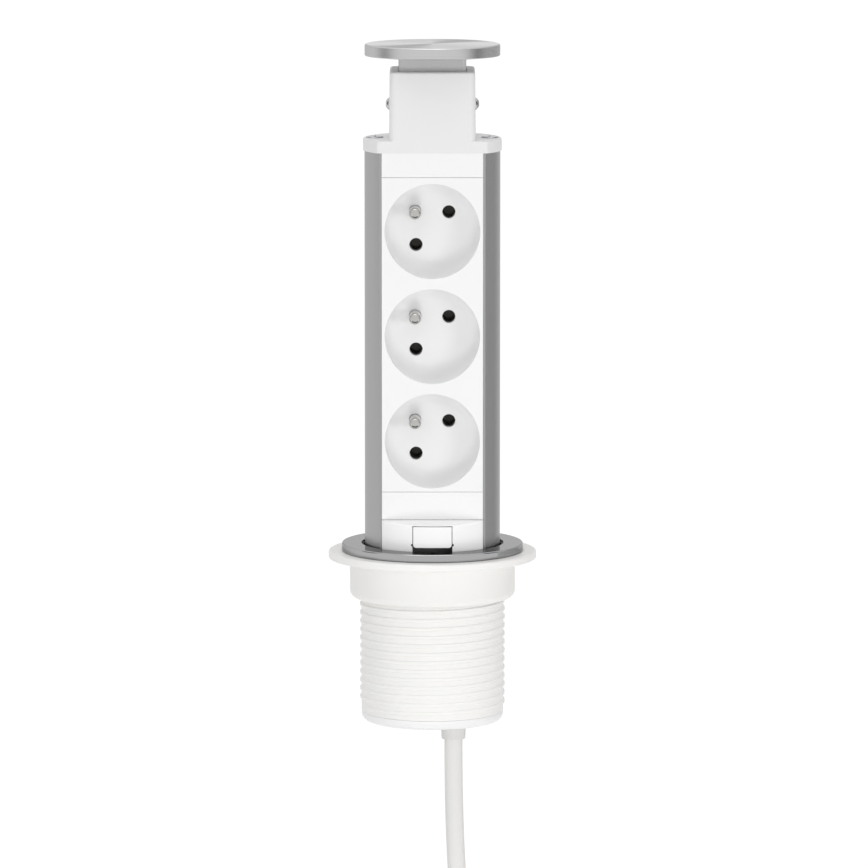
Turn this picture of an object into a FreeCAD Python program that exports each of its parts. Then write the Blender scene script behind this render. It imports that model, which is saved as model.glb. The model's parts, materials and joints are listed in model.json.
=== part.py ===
import FreeCAD, Part
import math
import os

from FreeCAD import Vector

# Retractable desk socket tower: a round aluminium column with three recessed earth-pin outlets.
# It slides down through a threaded sleeve, which a nut clamps in a round hole of the desk.
# Units are millimetres, +Z is up and the outlets face -Y.
# The origin is the centre of the trim ring's underside, on the desk's top face.

# Trim ring on the desk
RING_R = 37.3
RING_BORE_R = 29.15
RING_H = 3.0
RING_SKIN = 1.2
RING_EDGE = 0.6

# Threaded sleeve through the desk
SLEEVE_BORE_R = 28.65
SLEEVE_WALL = 0.6
SLEEVE_LENGTH = 67.0
FLANGE_INSET = 1.5
THREAD_PITCH = 3.5
THREAD_DEPTH = 0.6
THREAD_ROOT_W = 2.2
THREAD_CREST_W = 0.9
THREAD_START = 5.0
THREAD_END_GAP = 2.5

# Key in the sleeve that keeps the column from turning
KEY_W = 3.5
KEY_REACH = 2.1
KEY_CLEAR = 0.25
KEY_END_GAP = 1.5

# Pressure washer and clamp nut
WASHER_R = 42.75
WASHER_H = 3.1
WASHER_GAP = 0.3
NUT_R = 34.0
NUT_H = 16.2
NUT_EDGE = 3.0
NUT_RIDGE_ROOT_W = 2.2
NUT_RIDGE_CREST_W = 1.0
THREAD_CLEAR = 0.3
FACE_GAP = 0.1

# Column profile
COLUMN_R = 27.8
COLUMN_WALL = 1.8
COLUMN_TOP = 165.0
COLUMN_FRONT = 17.5
GUIDE_CLEAR = 0.25
PORT_X = 23.5
PORT_WALL = 1.05
PORT_SCREW_R = 1.6
SCREW_CLEAR = 0.05

# Front panels and the groove that holds them
PANEL_HALF_W = 20.65
PANEL_SIDE_GAP = 0.1
PANEL_LIP = 1.6
PANEL_TONGUE = 1.2
TONGUE_REACH = 1.05
SEAM = 0.15
FASCIA_TOP = 155.1
FASCIA_BOTTOM = 26.1
FOOT_TOP = 14.65
FOOT_BOTTOM = -12.0

# Outlets
SOCKET_COUNT = 3
SOCKET_TOP_Z = 133.1
BOWL_R = 19.45
SOCKET_WEB = 4.15
SOCKET_PITCH = 2 * BOWL_R + SOCKET_WEB
BOWL_DEPTH = 14.0
BOWL_WALL = 1.05
BOWL_FILLET = 6.0
BOWL_FLOOR = 2.0
INSERT_HALF_W = 20.9
INSERT_FLANGE = 1.5
PIN_PITCH = 19.0
PIN_HOLE_R = 2.7
EARTH_RADIUS = 10.0
EARTH_PIN_R = 2.4
EARTH_PIN_LENGTH = 12.5
EARTH_HOLE_CLEAR = 0.1
RIVET_CLEAR = 0.02
PIN_NOSE = 0.6

# Contacts behind the outlets
CONTACT_BORE_R = 2.42
CONTACT_WALL = 0.8
CONTACT_SLOT = 0.8
CONTACT_FRONT_GAP = 0.6
CARRIER_DEPTH = 14.4
CARRIER_CLEAR = 0.3
STRIP_W = 7.0
STRIP_T = 1.0
STRIP_TAIL = 6.0
EARTH_STRIP_X = -14.5
EARTH_STRIP_W = 4.0
EARTH_TAIL = 7.0
COVER_HALF_W = 18.5
COVER_T = 4.1
COVER_RIB_X = 8.0
COVER_RIB_T = 2.0
COVER_SCREW_X = 14.5
COVER_SCREW_R = 1.5
COVER_SCREW_HEAD_R = 2.7
COVER_SCREW_HEAD_H = 1.8
COVER_SCREW_DEPTH = 8.0

# Head: top plate, block, sliding neck and cap
PLATE_T = 5.0
PLATE_OVERHANG = 0.15
PLATE_CORNER = 1.5
PLATE_EDGE = 0.7
BLOCK_W = 35.3
BLOCK_DRAFT = 0.25
BLOCK_TOP = 198.0
BLOCK_CORNER = 3.0
BLOCK_EDGE = 1.0
CAVITY_FLOOR = 169.0
NECK_W = 27.6
NECK_CORNER = 1.5
NECK_WALL = 2.0
NECK_WEB = 3.0
NECK_BOTTOM = 176.0
NECK_CLEAR = 0.3
CAP_R = 27.7
CAP_T = 4.8
CAP_BOTTOM = 203.6
CAP_EDGE = 0.8
CAP_TRAVEL = 5.0
CAP_SCREW_X = 8.9
CAP_SCREW_R = 1.5
CAP_SCREW_HEAD_R = 2.6
CAP_SCREW_REACH = 3.0
SPRING_R = 5.0
SPRING_WIRE_R = 0.55
SPRING_TURNS = 7
GUIDE_SCREW_Z = 183.8
GUIDE_SCREW_R = 1.5
GUIDE_HEAD_R = 2.7
GUIDE_HEAD_H = 1.7
GUIDE_SOCKET_R = 1.15
GUIDE_SOCKET_DEPTH = 1.2
GUIDE_TIP = 1.5
GUIDE_SLOT_GAP = 0.15
PLATE_HEAD_R = 3.5
PLATE_HEAD_PROUD = 0.6
PLATE_HEAD_SUNK = 1.2
PLATE_HEAD_EDGE = 0.5
PLATE_SLOT_DEPTH = 1.2
PLATE_SCREW_LENGTH = 14.0
CROSS_REACH = 0.55
CROSS_WIDTH = 0.24

# Foot panel and its press latch
SHELF_DROP = 0.9
FOOT_EDGE = 0.7
LATCH_HALF_W = 7.85
LATCH_SIDE_GAP = 0.3
LATCH_TOP = 12.85
LATCH_BOTTOM = 4.35
LATCH_T = 1.8
LATCH_PROUD = 0.6
LATCH_CORNER = 1.2
LATCH_KNUCKLE_R = 1.8
LATCH_AXIS_INSET = 3.4
LATCH_PIN_R = 0.8
LATCH_PIN_CLEAR = 0.05
LATCH_PIN_GRIP = 2.4
LATCH_TRAVEL = 7.0
POCKET_BACK = 20.5
POCKET_TOP_GAP = 0.55
POCKET_BOTTOM = -1.0
RELIEF_R = 0.6
LATCH_SPRING_R = 1.9
LATCH_SPRING_WIRE_R = 0.3
LATCH_SPRING_TURNS = 5
LATCH_SPRING_Z = 6.7
LATCH_SPRING_GAP = 0.35

# Bottom housing with the cord inlet
HOUSING_TOP = -52.0
HOUSING_FLOOR = 3.0
HOUSING_FLANGE = 1.9
HOUSING_DEPTH_BELOW = 4.0
HOUSING_EDGE = 3.0
HOUSING_WALL = 2.5
STOP_REACH = 0.55
HOUSING_COLUMN_R = 3.5
COLUMN_HEAD_R = 3.2
COLUMN_SCREW_SUNK = 2.4
COLUMN_SCREW_GRIP = 16.0
CORD_X = 8.7
CORD_R = 3.75
GLAND_R = 5.3
GLAND_LENGTH = 8.0
GLAND_TAPER = 0.4
GLAND_COLLAR_R = 6.8
GLAND_COLLAR_T = 1.5
GLAND_CLEAR = 0.05
CLAMP_HALF_W = 8.0
CLAMP_H = 5.0
CLAMP_GAP = 2.5
CLAMP_BACK = 3.0
CLAMP_SCREW_X = 5.9
CLAMP_SCREW_R = 1.2
CLAMP_SCREW_GRIP = 4.7
CLAMP_HEAD_R = 2.1
CLAMP_HEAD_H = 1.6
JACKET_END = 14.0
WIRE_R = 1.25
WIRE_SPREAD = 1.8
WIRE_BEND_LOW = 0.28
WIRE_BEND_HIGH = 0.66

# Free cord, its hank and the plug
CORD_RUN = 57.0
CORD_SHIFT = 8.8
LAST_RUN = 50.0
HANK_RUN = 117.0
FOLD_R = 22.5
HANK_STEP = 8.4
HANK_LAYER = 8.2
HANK_WAIST = 5.0
HANK_TURNS = 3
CORD_TAIL = 44.0
TIE_T = 1.2
TIE_W = 12.0
TIE_GAP = 0.3
PLUG_R = 18.0
PLUG_LENGTH = 30.0
PLUG_NECK_R = 6.5
PLUG_NECK = 16.0
PLUG_PIN_R = 2.4
PLUG_PIN_LENGTH = 19.0
PLUG_PIN_ROOT = 8.0
PLUG_SHOULDER = 4.5
PLUG_SHOULDER_R = 9.1
PLUG_SIDE_FLAT = 16.8
CLIP_HALF_W = 3.0
CLIP_T = 0.8
CLIP_LENGTH = 18.5
CLIP_INSET = 0.5

# Worked out from the sizes above
THREAD_ROOT_R = SLEEVE_BORE_R + SLEEVE_WALL
THREAD_CREST_R = THREAD_ROOT_R + THREAD_DEPTH
FLANGE_H = RING_H - RING_SKIN
FLANGE_R = RING_R - FLANGE_INSET
GUIDE_R = SLEEVE_BORE_R - GUIDE_CLEAR
NUT_BORE_R = THREAD_CREST_R + THREAD_CLEAR
WASHER_TOP = -WASHER_GAP
WASHER_BOTTOM = WASHER_TOP - WASHER_H
NUT_TOP = WASHER_BOTTOM - FACE_GAP
NUT_BOTTOM = NUT_TOP - NUT_H
COLUMN_BORE_R = COLUMN_R - COLUMN_WALL
KEY_TIP_R = SLEEVE_BORE_R - KEY_REACH
KEY_FLOOR_R = KEY_TIP_R - KEY_CLEAR
KEY_SEAT_HALF_W = KEY_W / 2 + KEY_CLEAR
DROP = COLUMN_TOP - BLOCK_TOP + SLEEVE_LENGTH
SLIDE_TRAVEL = BLOCK_TOP - (RING_H - CAP_TRAVEL - (CAP_BOTTOM + CAP_T - BLOCK_TOP))
PORT_BORE_R = PORT_SCREW_R + SCREW_CLEAR
PANEL_FRONT_Y = -COLUMN_FRONT
TONGUE_FRONT_Y = PANEL_FRONT_Y + PANEL_LIP
PANEL_BACK_Y = TONGUE_FRONT_Y + PANEL_TONGUE
TONGUE_HALF_W = PANEL_HALF_W + TONGUE_REACH
SOCKET_Z = [SOCKET_TOP_Z - SOCKET_PITCH * i for i in range(SOCKET_COUNT)]
FLOOR_Y = PANEL_FRONT_Y + BOWL_DEPTH
INSERT_BACK_Y = FLOOR_Y + BOWL_FLOOR
PIN_OFFSET = PIN_PITCH / 2 / math.sqrt(2)
PIN_PLACES = (-PIN_OFFSET, PIN_OFFSET)
EARTH_OFFSET = EARTH_RADIUS / math.sqrt(2)
CARRIER_BACK_Y = INSERT_BACK_Y + CARRIER_DEPTH
CARRIER_HALF_W = PORT_X - PORT_BORE_R - PORT_WALL - FACE_GAP
CARRIER_TOP = SOCKET_Z[0] + SOCKET_PITCH / 2
CARRIER_BOTTOM = SOCKET_Z[-1] - SOCKET_PITCH / 2
STRIP_BOTTOM = CARRIER_BOTTOM - STRIP_TAIL
COVER_HOLE_R = COVER_SCREW_R + SCREW_CLEAR
COVER_BACK_Y = CARRIER_BACK_Y + COVER_T
PLATE_FRONT = COLUMN_FRONT + PLATE_OVERHANG
PLATE_TOP = COLUMN_TOP + PLATE_T
CAVITY_W = NECK_W + 2 * NECK_CLEAR
WEB_BOTTOM = CAP_BOTTOM - NECK_WEB
CAP_HOLE_R = CAP_SCREW_R + SCREW_CLEAR
LATCH_AXIS_R = GUIDE_R - LATCH_AXIS_INSET
LATCH_AXIS_Z = LATCH_TOP - LATCH_KNUCKLE_R
LATCH_TILT = math.degrees(math.asin(LATCH_PROUD / (LATCH_AXIS_Z - LATCH_BOTTOM)))
FLANGE_TOP = -SLEEVE_LENGTH - FACE_GAP
HOUSING_BOTTOM = FLANGE_TOP - HOUSING_DEPTH_BELOW
FLOOR_TOP = HOUSING_BOTTOM + HOUSING_FLOOR
GLAND_END = HOUSING_BOTTOM - GLAND_LENGTH
JACKET_TOP = HOUSING_BOTTOM + JACKET_END
CLAMP_BOTTOM = FLOOR_TOP + CLAMP_GAP
CLAMP_TOP = CLAMP_BOTTOM + CLAMP_H
CLAMP_BACK_Y = CORD_R + CLAMP_BACK
CLAMP_HOLE_R = CLAMP_SCREW_R + SCREW_CLEAR
CLAMP_SCREW_PLACES = (CORD_X - CLAMP_SCREW_X, CORD_X + CLAMP_SCREW_X)
CLAMP_SCREW_Z = (CLAMP_BOTTOM + CLAMP_TOP) / 2
CLAMP_SCREW_TIP = -CORD_R - CLAMP_SCREW_GRIP


def box(x0, x1, y0, y1, z0, z1):
    return Part.makeBox(x1 - x0, y1 - y0, z1 - z0, Vector(x0, y0, z0))


def post(r, z0, z1, x=0.0, y=0.0):
    return Part.makeCylinder(r, z1 - z0, Vector(x, y, z0), Vector(0, 0, 1))


def bar_y(r, y0, y1, x, z):
    return Part.makeCylinder(r, y1 - y0, Vector(x, y0, z), Vector(0, 1, 0))


def bar_x(r, x0, x1, y, z):
    return Part.makeCylinder(r, x1 - x0, Vector(x0, y, z), Vector(1, 0, 0))


def ring(r_out, r_in, z0, z1):
    return post(r_out, z0, z1).cut(post(r_in, z0, z1))


def joined(first, *others):
    return first.multiFuse(list(others)).removeSplitter()


def cut_by(shape, *tools):
    return shape.cut(list(tools)) if tools else shape


def circle_edges(shape, r, z):
    """Edges that are circles or arcs of this radius about Z at this height."""
    found = []
    for edge in shape.Edges:
        curve = edge.Curve
        if isinstance(curve, Part.Circle) and abs(curve.Radius - r) < 1e-6:
            if abs(curve.Center.z - z) < 1e-6 and abs(curve.Axis.z) > 0.999:
                found.append(edge)
    return found


def upright_edges(shape, x, y):
    """Straight vertical edges that stand at plus or minus x, and at y."""
    found = []
    for edge in shape.Edges:
        a, b = edge.Vertexes[0].Point, edge.Vertexes[-1].Point
        straight = isinstance(edge.Curve, Part.Line) and abs(a.x - b.x) + abs(a.y - b.y) < 1e-6
        if straight and abs(abs(a.x) - x) < 1e-3 and abs(a.y - y) < 1e-3:
            found.append(edge)
    return found


def rim_edges(shape, z):
    """Every edge that lies in the level plane at this height."""
    return [e for e in shape.Edges if abs(e.BoundBox.ZMin - z) < 1e-6 and abs(e.BoundBox.ZMax - z) < 1e-6]


def round_edges(shape, radius, edges):
    return shape.makeFillet(radius, edges) if edges else shape


def rounded_bar(width, corner, z0, z1, top_inset=0.0):
    """Square post with rounded corners, narrower at the top by the inset on each side."""

    def outline(half, r, z):
        s = half - r
        d = r * math.sqrt(0.5)
        corners = [(s, s, 0), (-s, s, 90), (-s, -s, 180), (s, -s, 270)]
        edges = []
        ends = []
        for cx, cy, turn in corners:
            a = math.radians(turn)
            c, n = math.cos(a), math.sin(a)
            first = Vector(cx + r * c, cy + r * n, z)
            middle = Vector(cx + d * (c - n), cy + d * (c + n), z)
            last = Vector(cx - r * n, cy + r * c, z)
            edges.append(Part.Arc(first, middle, last).toShape())
            ends.append((first, last))
        wires = []
        for i in range(4):
            wires.append(edges[i])
            wires.append(Part.LineSegment(ends[i][1], ends[(i + 1) % 4][0]).toShape())
        return Part.Wire(wires)

    low = outline(width / 2, corner, z0)
    high = outline(width / 2 - top_inset, corner, z1)
    return Part.makeLoft([low, high], True, True)


def ridge(root_r, crest_r, root_w, crest_w, z0, z1, phase_z=0.0):
    """Helical ridge of trapezoid section from the root radius to the crest radius."""
    sink = 0.2 if crest_r > root_r else -0.2
    turn_r = (root_r + crest_r) / 2
    helix = Part.makeHelix(THREAD_PITCH, z1 - z0, turn_r)
    section = Part.makePolygon(
        [
            Vector(root_r - sink, 0, -root_w / 2),
            Vector(crest_r, 0, -crest_w / 2),
            Vector(crest_r, 0, crest_w / 2),
            Vector(root_r - sink, 0, root_w / 2),
            Vector(root_r - sink, 0, -root_w / 2),
        ]
    )
    solid = Part.Wire(helix.Edges).makePipeShell([section], True, True)
    solid.rotate(Vector(0, 0, 0), Vector(0, 0, 1), 360 * (z0 - phase_z) / THREAD_PITCH)
    solid.translate(Vector(0, 0, z0))
    return solid


def coil_spring(r, wire_r, turns, length):
    """Compression spring that stands on the origin along Z, with its wire's ends in the two end planes."""
    rise = (length - 2 * wire_r) / turns
    turn = Part.makeHelix(rise, rise, r).Edges[0]
    path = Part.Wire([turn.translated(Vector(0, 0, i * rise)) for i in range(turns)])
    section = Part.Wire(Part.makeCircle(wire_r, Vector(r, 0, 0), Vector(0, 1, 0)))
    spring = path.makePipeShell([section], True, True)
    spring.translate(Vector(0, 0, wire_r))
    return spring


def pair(make):
    return [make(-1), make(1)]


def side_box(side, near, far, y0, y1, z0, z1):
    """Box between two distances from the middle plane, on the side given."""
    return box(min(side * near, side * far), max(side * near, side * far), y0, y1, z0, z1)


def end_circle(shape, y):
    """Round edges of this shape that lie at this depth."""
    return [e for e in shape.Edges if isinstance(e.Curve, Part.Circle) and abs(e.Curve.Center.y - y) < 1e-6]


# Ring, sleeve, washer and nut


def make_trim_ring():
    body = ring(RING_R, RING_BORE_R, 0, RING_H)
    body = body.cut(ring(FLANGE_R, RING_BORE_R - 1, -1, FLANGE_H))
    body = round_edges(body, RING_EDGE, circle_edges(body, RING_R, RING_H))
    return round_edges(body, RING_EDGE / 2, circle_edges(body, RING_BORE_R, RING_H))


def make_threaded_sleeve():
    tube = ring(THREAD_ROOT_R, SLEEVE_BORE_R, -SLEEVE_LENGTH, FLANGE_H)
    flange = ring(FLANGE_R, SLEEVE_BORE_R, 0, FLANGE_H)
    thread = ridge(
        THREAD_ROOT_R,
        THREAD_CREST_R,
        THREAD_ROOT_W,
        THREAD_CREST_W,
        -SLEEVE_LENGTH + THREAD_END_GAP,
        -THREAD_START,
    )
    key = box(
        -KEY_W / 2,
        KEY_W / 2,
        KEY_TIP_R,
        SLEEVE_BORE_R + SLEEVE_WALL / 2,
        -SLEEVE_LENGTH + KEY_END_GAP,
        COLUMN_TOP - SLIDE_TRAVEL - FACE_GAP,
    )
    return joined(tube, flange, thread, key)


def make_pressure_washer():
    body = ring(WASHER_R, NUT_BORE_R, WASHER_BOTTOM, WASHER_TOP)
    edges = circle_edges(body, WASHER_R, WASHER_TOP) + circle_edges(body, WASHER_R, WASHER_BOTTOM)
    return round_edges(body, WASHER_H / 5, edges)


def make_clamp_nut():
    body = ring(NUT_R, NUT_BORE_R, NUT_BOTTOM, NUT_TOP)
    body = round_edges(body, NUT_EDGE, circle_edges(body, NUT_R, NUT_BOTTOM))
    inner = ridge(
        NUT_BORE_R,
        THREAD_ROOT_R + THREAD_CLEAR,
        NUT_RIDGE_ROOT_W,
        NUT_RIDGE_CREST_W,
        NUT_BOTTOM + NUT_RIDGE_ROOT_W,
        NUT_TOP - NUT_RIDGE_ROOT_W,
        THREAD_PITCH / 2,
    )
    return joined(body, inner)


# Column


def column_blank(r, front, z0, z1):
    """Round post with a flat front."""
    return post(r, z0, z1).cut(box(-r - 1, r + 1, -r - 1, -front, z0 - 1, z1 + 1))


def make_column_profile():
    z0, z1 = HOUSING_TOP, COLUMN_TOP
    body = column_blank(COLUMN_R, COLUMN_FRONT, z0, z1).cut(post(COLUMN_BORE_R, z0, z1))
    ledges = []
    ports = []
    for side in (-1, 1):
        near = side * (TONGUE_HALF_W - TONGUE_REACH / 2)
        far = side * (TONGUE_HALF_W + TONGUE_REACH)
        front = PANEL_BACK_Y + PANEL_SIDE_GAP
        ledges.append(box(min(near, far), max(near, far), front, front + PANEL_LIP, z0, z1))
        ports.append(post(PORT_BORE_R + PORT_WALL, z0, z1, side * PORT_X))
    inside = post(COLUMN_R - COLUMN_WALL / 2, z0, z1)
    ledges = [ledge.common(inside) for ledge in ledges]
    ports = [port.common(inside) for port in ports]
    key_seat = box(-KEY_W, KEY_W, KEY_FLOOR_R - COLUMN_WALL, COLUMN_BORE_R + COLUMN_WALL / 2, z0, z1)
    body = joined(body, *ledges, *ports, key_seat)
    half_mouth = PANEL_HALF_W + PANEL_SIDE_GAP
    half_groove = TONGUE_HALF_W + PANEL_SIDE_GAP
    mouth = box(-half_mouth, half_mouth, PANEL_FRONT_Y - 1, PANEL_BACK_Y, z0, z1)
    groove = box(-half_groove, half_groove, TONGUE_FRONT_Y, PANEL_BACK_Y + PANEL_SIDE_GAP, z0, z1)
    key_way = box(-KEY_SEAT_HALF_W, KEY_SEAT_HALF_W, KEY_FLOOR_R, COLUMN_R + 1, z0, z1)
    bores = [post(PORT_BORE_R, z0, z1, side * PORT_X) for side in (-1, 1)]
    return cut_by(body, mouth, groove, key_way, *bores)


def front_panel(z0, z1):
    """Panel whose side tongues slide in the column's grooves."""
    face = box(-PANEL_HALF_W, PANEL_HALF_W, PANEL_FRONT_Y, PANEL_BACK_Y, z0, z1)
    tongue = box(-TONGUE_HALF_W, TONGUE_HALF_W, TONGUE_FRONT_Y, PANEL_BACK_Y, z0, z1)
    return joined(face, tongue)


def make_upper_blank():
    return front_panel(FASCIA_TOP + SEAM / 2, COLUMN_TOP)


def make_socket_fascia():
    panel = front_panel(FASCIA_BOTTOM + SEAM / 2, FASCIA_TOP - SEAM / 2)
    mouths = [bar_y(BOWL_R, PANEL_FRONT_Y - 1, PANEL_BACK_Y + 1, 0, z) for z in SOCKET_Z]
    return cut_by(panel, *mouths)


def make_lower_blank():
    return front_panel(FOOT_TOP + SEAM / 2, FASCIA_BOTTOM - SEAM / 2)


def make_inlet_cover():
    return front_panel(HOUSING_TOP, FOOT_BOTTOM - SEAM)


def make_socket_insert(z):
    """Bowl, its square flange behind the fascia, and its pin and earth holes."""
    outer = bar_y(BOWL_R + BOWL_WALL, PANEL_BACK_Y, INSERT_BACK_Y, 0, z)
    outer = outer.makeFillet(BOWL_FILLET, end_circle(outer, INSERT_BACK_Y))
    half_h = SOCKET_PITCH / 2 - SEAM / 2
    flange_back = PANEL_BACK_Y + INSERT_FLANGE
    flange = box(-INSERT_HALF_W, INSERT_HALF_W, PANEL_BACK_Y, flange_back, z - half_h, z + half_h)
    inner = bar_y(BOWL_R, PANEL_FRONT_Y, FLOOR_Y, 0, z)
    inner = inner.makeFillet(BOWL_FILLET, end_circle(inner, FLOOR_Y))
    y0, y1 = FLOOR_Y - 1, INSERT_BACK_Y + 1
    holes = [bar_y(PIN_HOLE_R, y0, y1, x, z + x) for x in PIN_PLACES]
    holes.append(bar_y(EARTH_PIN_R + EARTH_HOLE_CLEAR, y0, y1, -EARTH_OFFSET, z + EARTH_OFFSET))
    return cut_by(joined(outer, flange), inner, *holes)


def make_earth_pin(z):
    tip = FLOOR_Y - EARTH_PIN_LENGTH
    pin = bar_y(EARTH_PIN_R, tip, INSERT_BACK_Y + EARTH_TAIL, -EARTH_OFFSET, z + EARTH_OFFSET)
    return pin.makeFillet(EARTH_PIN_R * PIN_NOSE, end_circle(pin, tip))


def earth_strip_shape(clear):
    """The earth strip with its three tabs, or with a clearance the channel that it lies in."""
    x0 = EARTH_STRIP_X - EARTH_STRIP_W / 2 - clear
    x1 = EARTH_STRIP_X + EARTH_STRIP_W / 2 + clear
    y1 = INSERT_BACK_Y + STRIP_T + clear
    half = STRIP_W / 2 + clear
    middles = [z + EARTH_OFFSET for z in SOCKET_Z]
    strip = box(x0, x1, INSERT_BACK_Y, y1, STRIP_BOTTOM, middles[0] + half)
    tabs = [box(x0, half - EARTH_OFFSET, INSERT_BACK_Y, y1, z - half, z + half) for z in middles]
    return joined(strip, *tabs)


def make_earth_strip():
    y0, y1 = INSERT_BACK_Y - 1, INSERT_BACK_Y + STRIP_T + 1
    rivet_r = EARTH_PIN_R + RIVET_CLEAR
    holes = [bar_y(rivet_r, y0, y1, -EARTH_OFFSET, z + EARTH_OFFSET) for z in SOCKET_Z]
    return cut_by(earth_strip_shape(0.0), *holes)


def make_contact_strip(side):
    """Brass strip with a slit contact tube behind each pin hole on its side."""
    x = side * PIN_OFFSET
    back = CARRIER_BACK_Y
    middles = [z + x for z in SOCKET_Z]
    half_w = STRIP_W / 2
    strip = box(x - half_w, x + half_w, back, back + STRIP_T, STRIP_BOTTOM, middles[0] + half_w)
    tube_r = CONTACT_BORE_R + CONTACT_WALL
    tube_front = INSERT_BACK_Y + CONTACT_FRONT_GAP
    slot_back = back - CONTACT_WALL
    tubes = [bar_y(tube_r, tube_front, back, x, z) for z in middles]
    bores = [bar_y(CONTACT_BORE_R, tube_front, back, x, z) for z in middles]
    half = CONTACT_SLOT / 2
    slots = [box(x - tube_r, x + tube_r, tube_front, slot_back, z - half, z + half) for z in middles]
    return cut_by(joined(strip, *tubes), *bores, *slots)


def cover_screw_heights():
    """Heights of the screw rows: beside each outlet's flange edge and at both ends."""
    between = [z - SOCKET_PITCH / 2 for z in SOCKET_Z[:-1]]
    inset = SOCKET_PITCH / 10
    return [CARRIER_TOP - inset, *between, CARRIER_BOTTOM + inset]


def cover_screw_places():
    return [(side * COVER_SCREW_X, z) for z in cover_screw_heights() for side in (-1, 1)]


def make_contact_carrier():
    front, back = INSERT_BACK_Y, CARRIER_BACK_Y
    body = box(-CARRIER_HALF_W, CARRIER_HALF_W, front, back, CARRIER_BOTTOM, CARRIER_TOP)
    tube_r = CONTACT_BORE_R + CONTACT_WALL + CARRIER_CLEAR
    rivet_r = EARTH_PIN_R + RIVET_CLEAR
    tail = front + EARTH_TAIL + CARRIER_CLEAR
    wells = [bar_y(tube_r, front, back, x, z + x) for z in SOCKET_Z for x in PIN_PLACES]
    rivets = [bar_y(rivet_r, front, tail, -EARTH_OFFSET, z + EARTH_OFFSET) for z in SOCKET_Z]
    screws = [bar_y(COVER_HOLE_R, back - COVER_SCREW_DEPTH, back, x, z) for x, z in cover_screw_places()]
    return cut_by(body, earth_strip_shape(CARRIER_CLEAR), *wells, *rivets, *screws)


def make_contact_cover():
    """Back cover whose two ribs reach the column's round wall."""
    front, back = CARRIER_BACK_Y, COVER_BACK_Y
    body = box(-COVER_HALF_W, COVER_HALF_W, front, back, CARRIER_BOTTOM, CARRIER_TOP)
    inner_x = COVER_RIB_X - COVER_RIB_T / 2
    outer_x = COVER_RIB_X + COVER_RIB_T / 2
    rib_back = math.sqrt((COLUMN_BORE_R - FACE_GAP) ** 2 - outer_x**2)
    z0, z1 = CARRIER_BOTTOM, CARRIER_TOP
    ribs = [side_box(side, inner_x, outer_x, back - 1, rib_back, z0, z1) for side in (-1, 1)]
    half = STRIP_W / 2 + CARRIER_CLEAR
    channels = []
    for x in PIN_PLACES:
        top = SOCKET_Z[0] + x + half
        channels.append(box(x - half, x + half, front, front + STRIP_T, CARRIER_BOTTOM, top))
    screws = [bar_y(COVER_HOLE_R, front, back, x, z) for x, z in cover_screw_places()]
    return cut_by(joined(body, *ribs), *channels, *screws)


def make_cover_screws():
    screws = []
    for x, z in cover_screw_places():
        shank = bar_y(COVER_SCREW_R, CARRIER_BACK_Y - COVER_SCREW_DEPTH, COVER_BACK_Y, x, z)
        head = bar_y(COVER_SCREW_HEAD_R, COVER_BACK_Y, COVER_BACK_Y + COVER_SCREW_HEAD_H, x, z)
        screws.append(joined(shank, head))
    return screws


# Head


def make_head_housing():
    plate = column_blank(GUIDE_R, PLATE_FRONT, COLUMN_TOP, PLATE_TOP)
    corner_x = math.sqrt(GUIDE_R**2 - PLATE_FRONT**2)
    plate = round_edges(plate, PLATE_CORNER, upright_edges(plate, corner_x, -PLATE_FRONT))
    plate = round_edges(plate, PLATE_EDGE, rim_edges(plate, PLATE_TOP))
    block = rounded_bar(BLOCK_W, BLOCK_CORNER, PLATE_TOP - PLATE_EDGE, BLOCK_TOP, BLOCK_DRAFT)
    block = round_edges(block, BLOCK_EDGE, rim_edges(block, BLOCK_TOP))
    cavity = rounded_bar(CAVITY_W, NECK_CORNER + NECK_CLEAR, CAVITY_FLOOR, BLOCK_TOP + 1)
    cuts = [cavity]
    cuts.append(bar_x(GUIDE_SCREW_R + SCREW_CLEAR, -BLOCK_W, BLOCK_W, 0, GUIDE_SCREW_Z))
    for side in (-1, 1):
        x = side * PORT_X
        cuts.append(post(PORT_SCREW_R + GUIDE_CLEAR, COLUMN_TOP - 1, PLATE_TOP + 1, x))
        cuts.append(post(PLATE_HEAD_R + FACE_GAP, PLATE_TOP - PLATE_HEAD_SUNK, PLATE_TOP + 1, x))
    return cut_by(joined(plate, block), *cuts)


def make_plate_screw(side):
    x = side * PORT_X
    seat = PLATE_TOP - PLATE_HEAD_SUNK
    face = PLATE_TOP + PLATE_HEAD_PROUD
    shank = post(PORT_SCREW_R, PLATE_TOP - PLATE_SCREW_LENGTH, seat, x)
    head = post(PLATE_HEAD_R, seat, face, x)
    head = head.makeFillet(PLATE_HEAD_EDGE, rim_edges(head, face))
    slot = cross_slot(PLATE_HEAD_R, PLATE_SLOT_DEPTH)
    slot.translate(Vector(x, 0, face))
    return joined(shank, head).cut(slot)


def cross_slot(head_r, depth):
    """Cross recess that opens upwards at the origin."""
    arm = head_r * CROSS_REACH
    half = head_r * CROSS_WIDTH / 2
    return joined(box(-arm, arm, -half, half, -depth, 1), box(-half, half, -arm, arm, -depth, 1))


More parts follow.
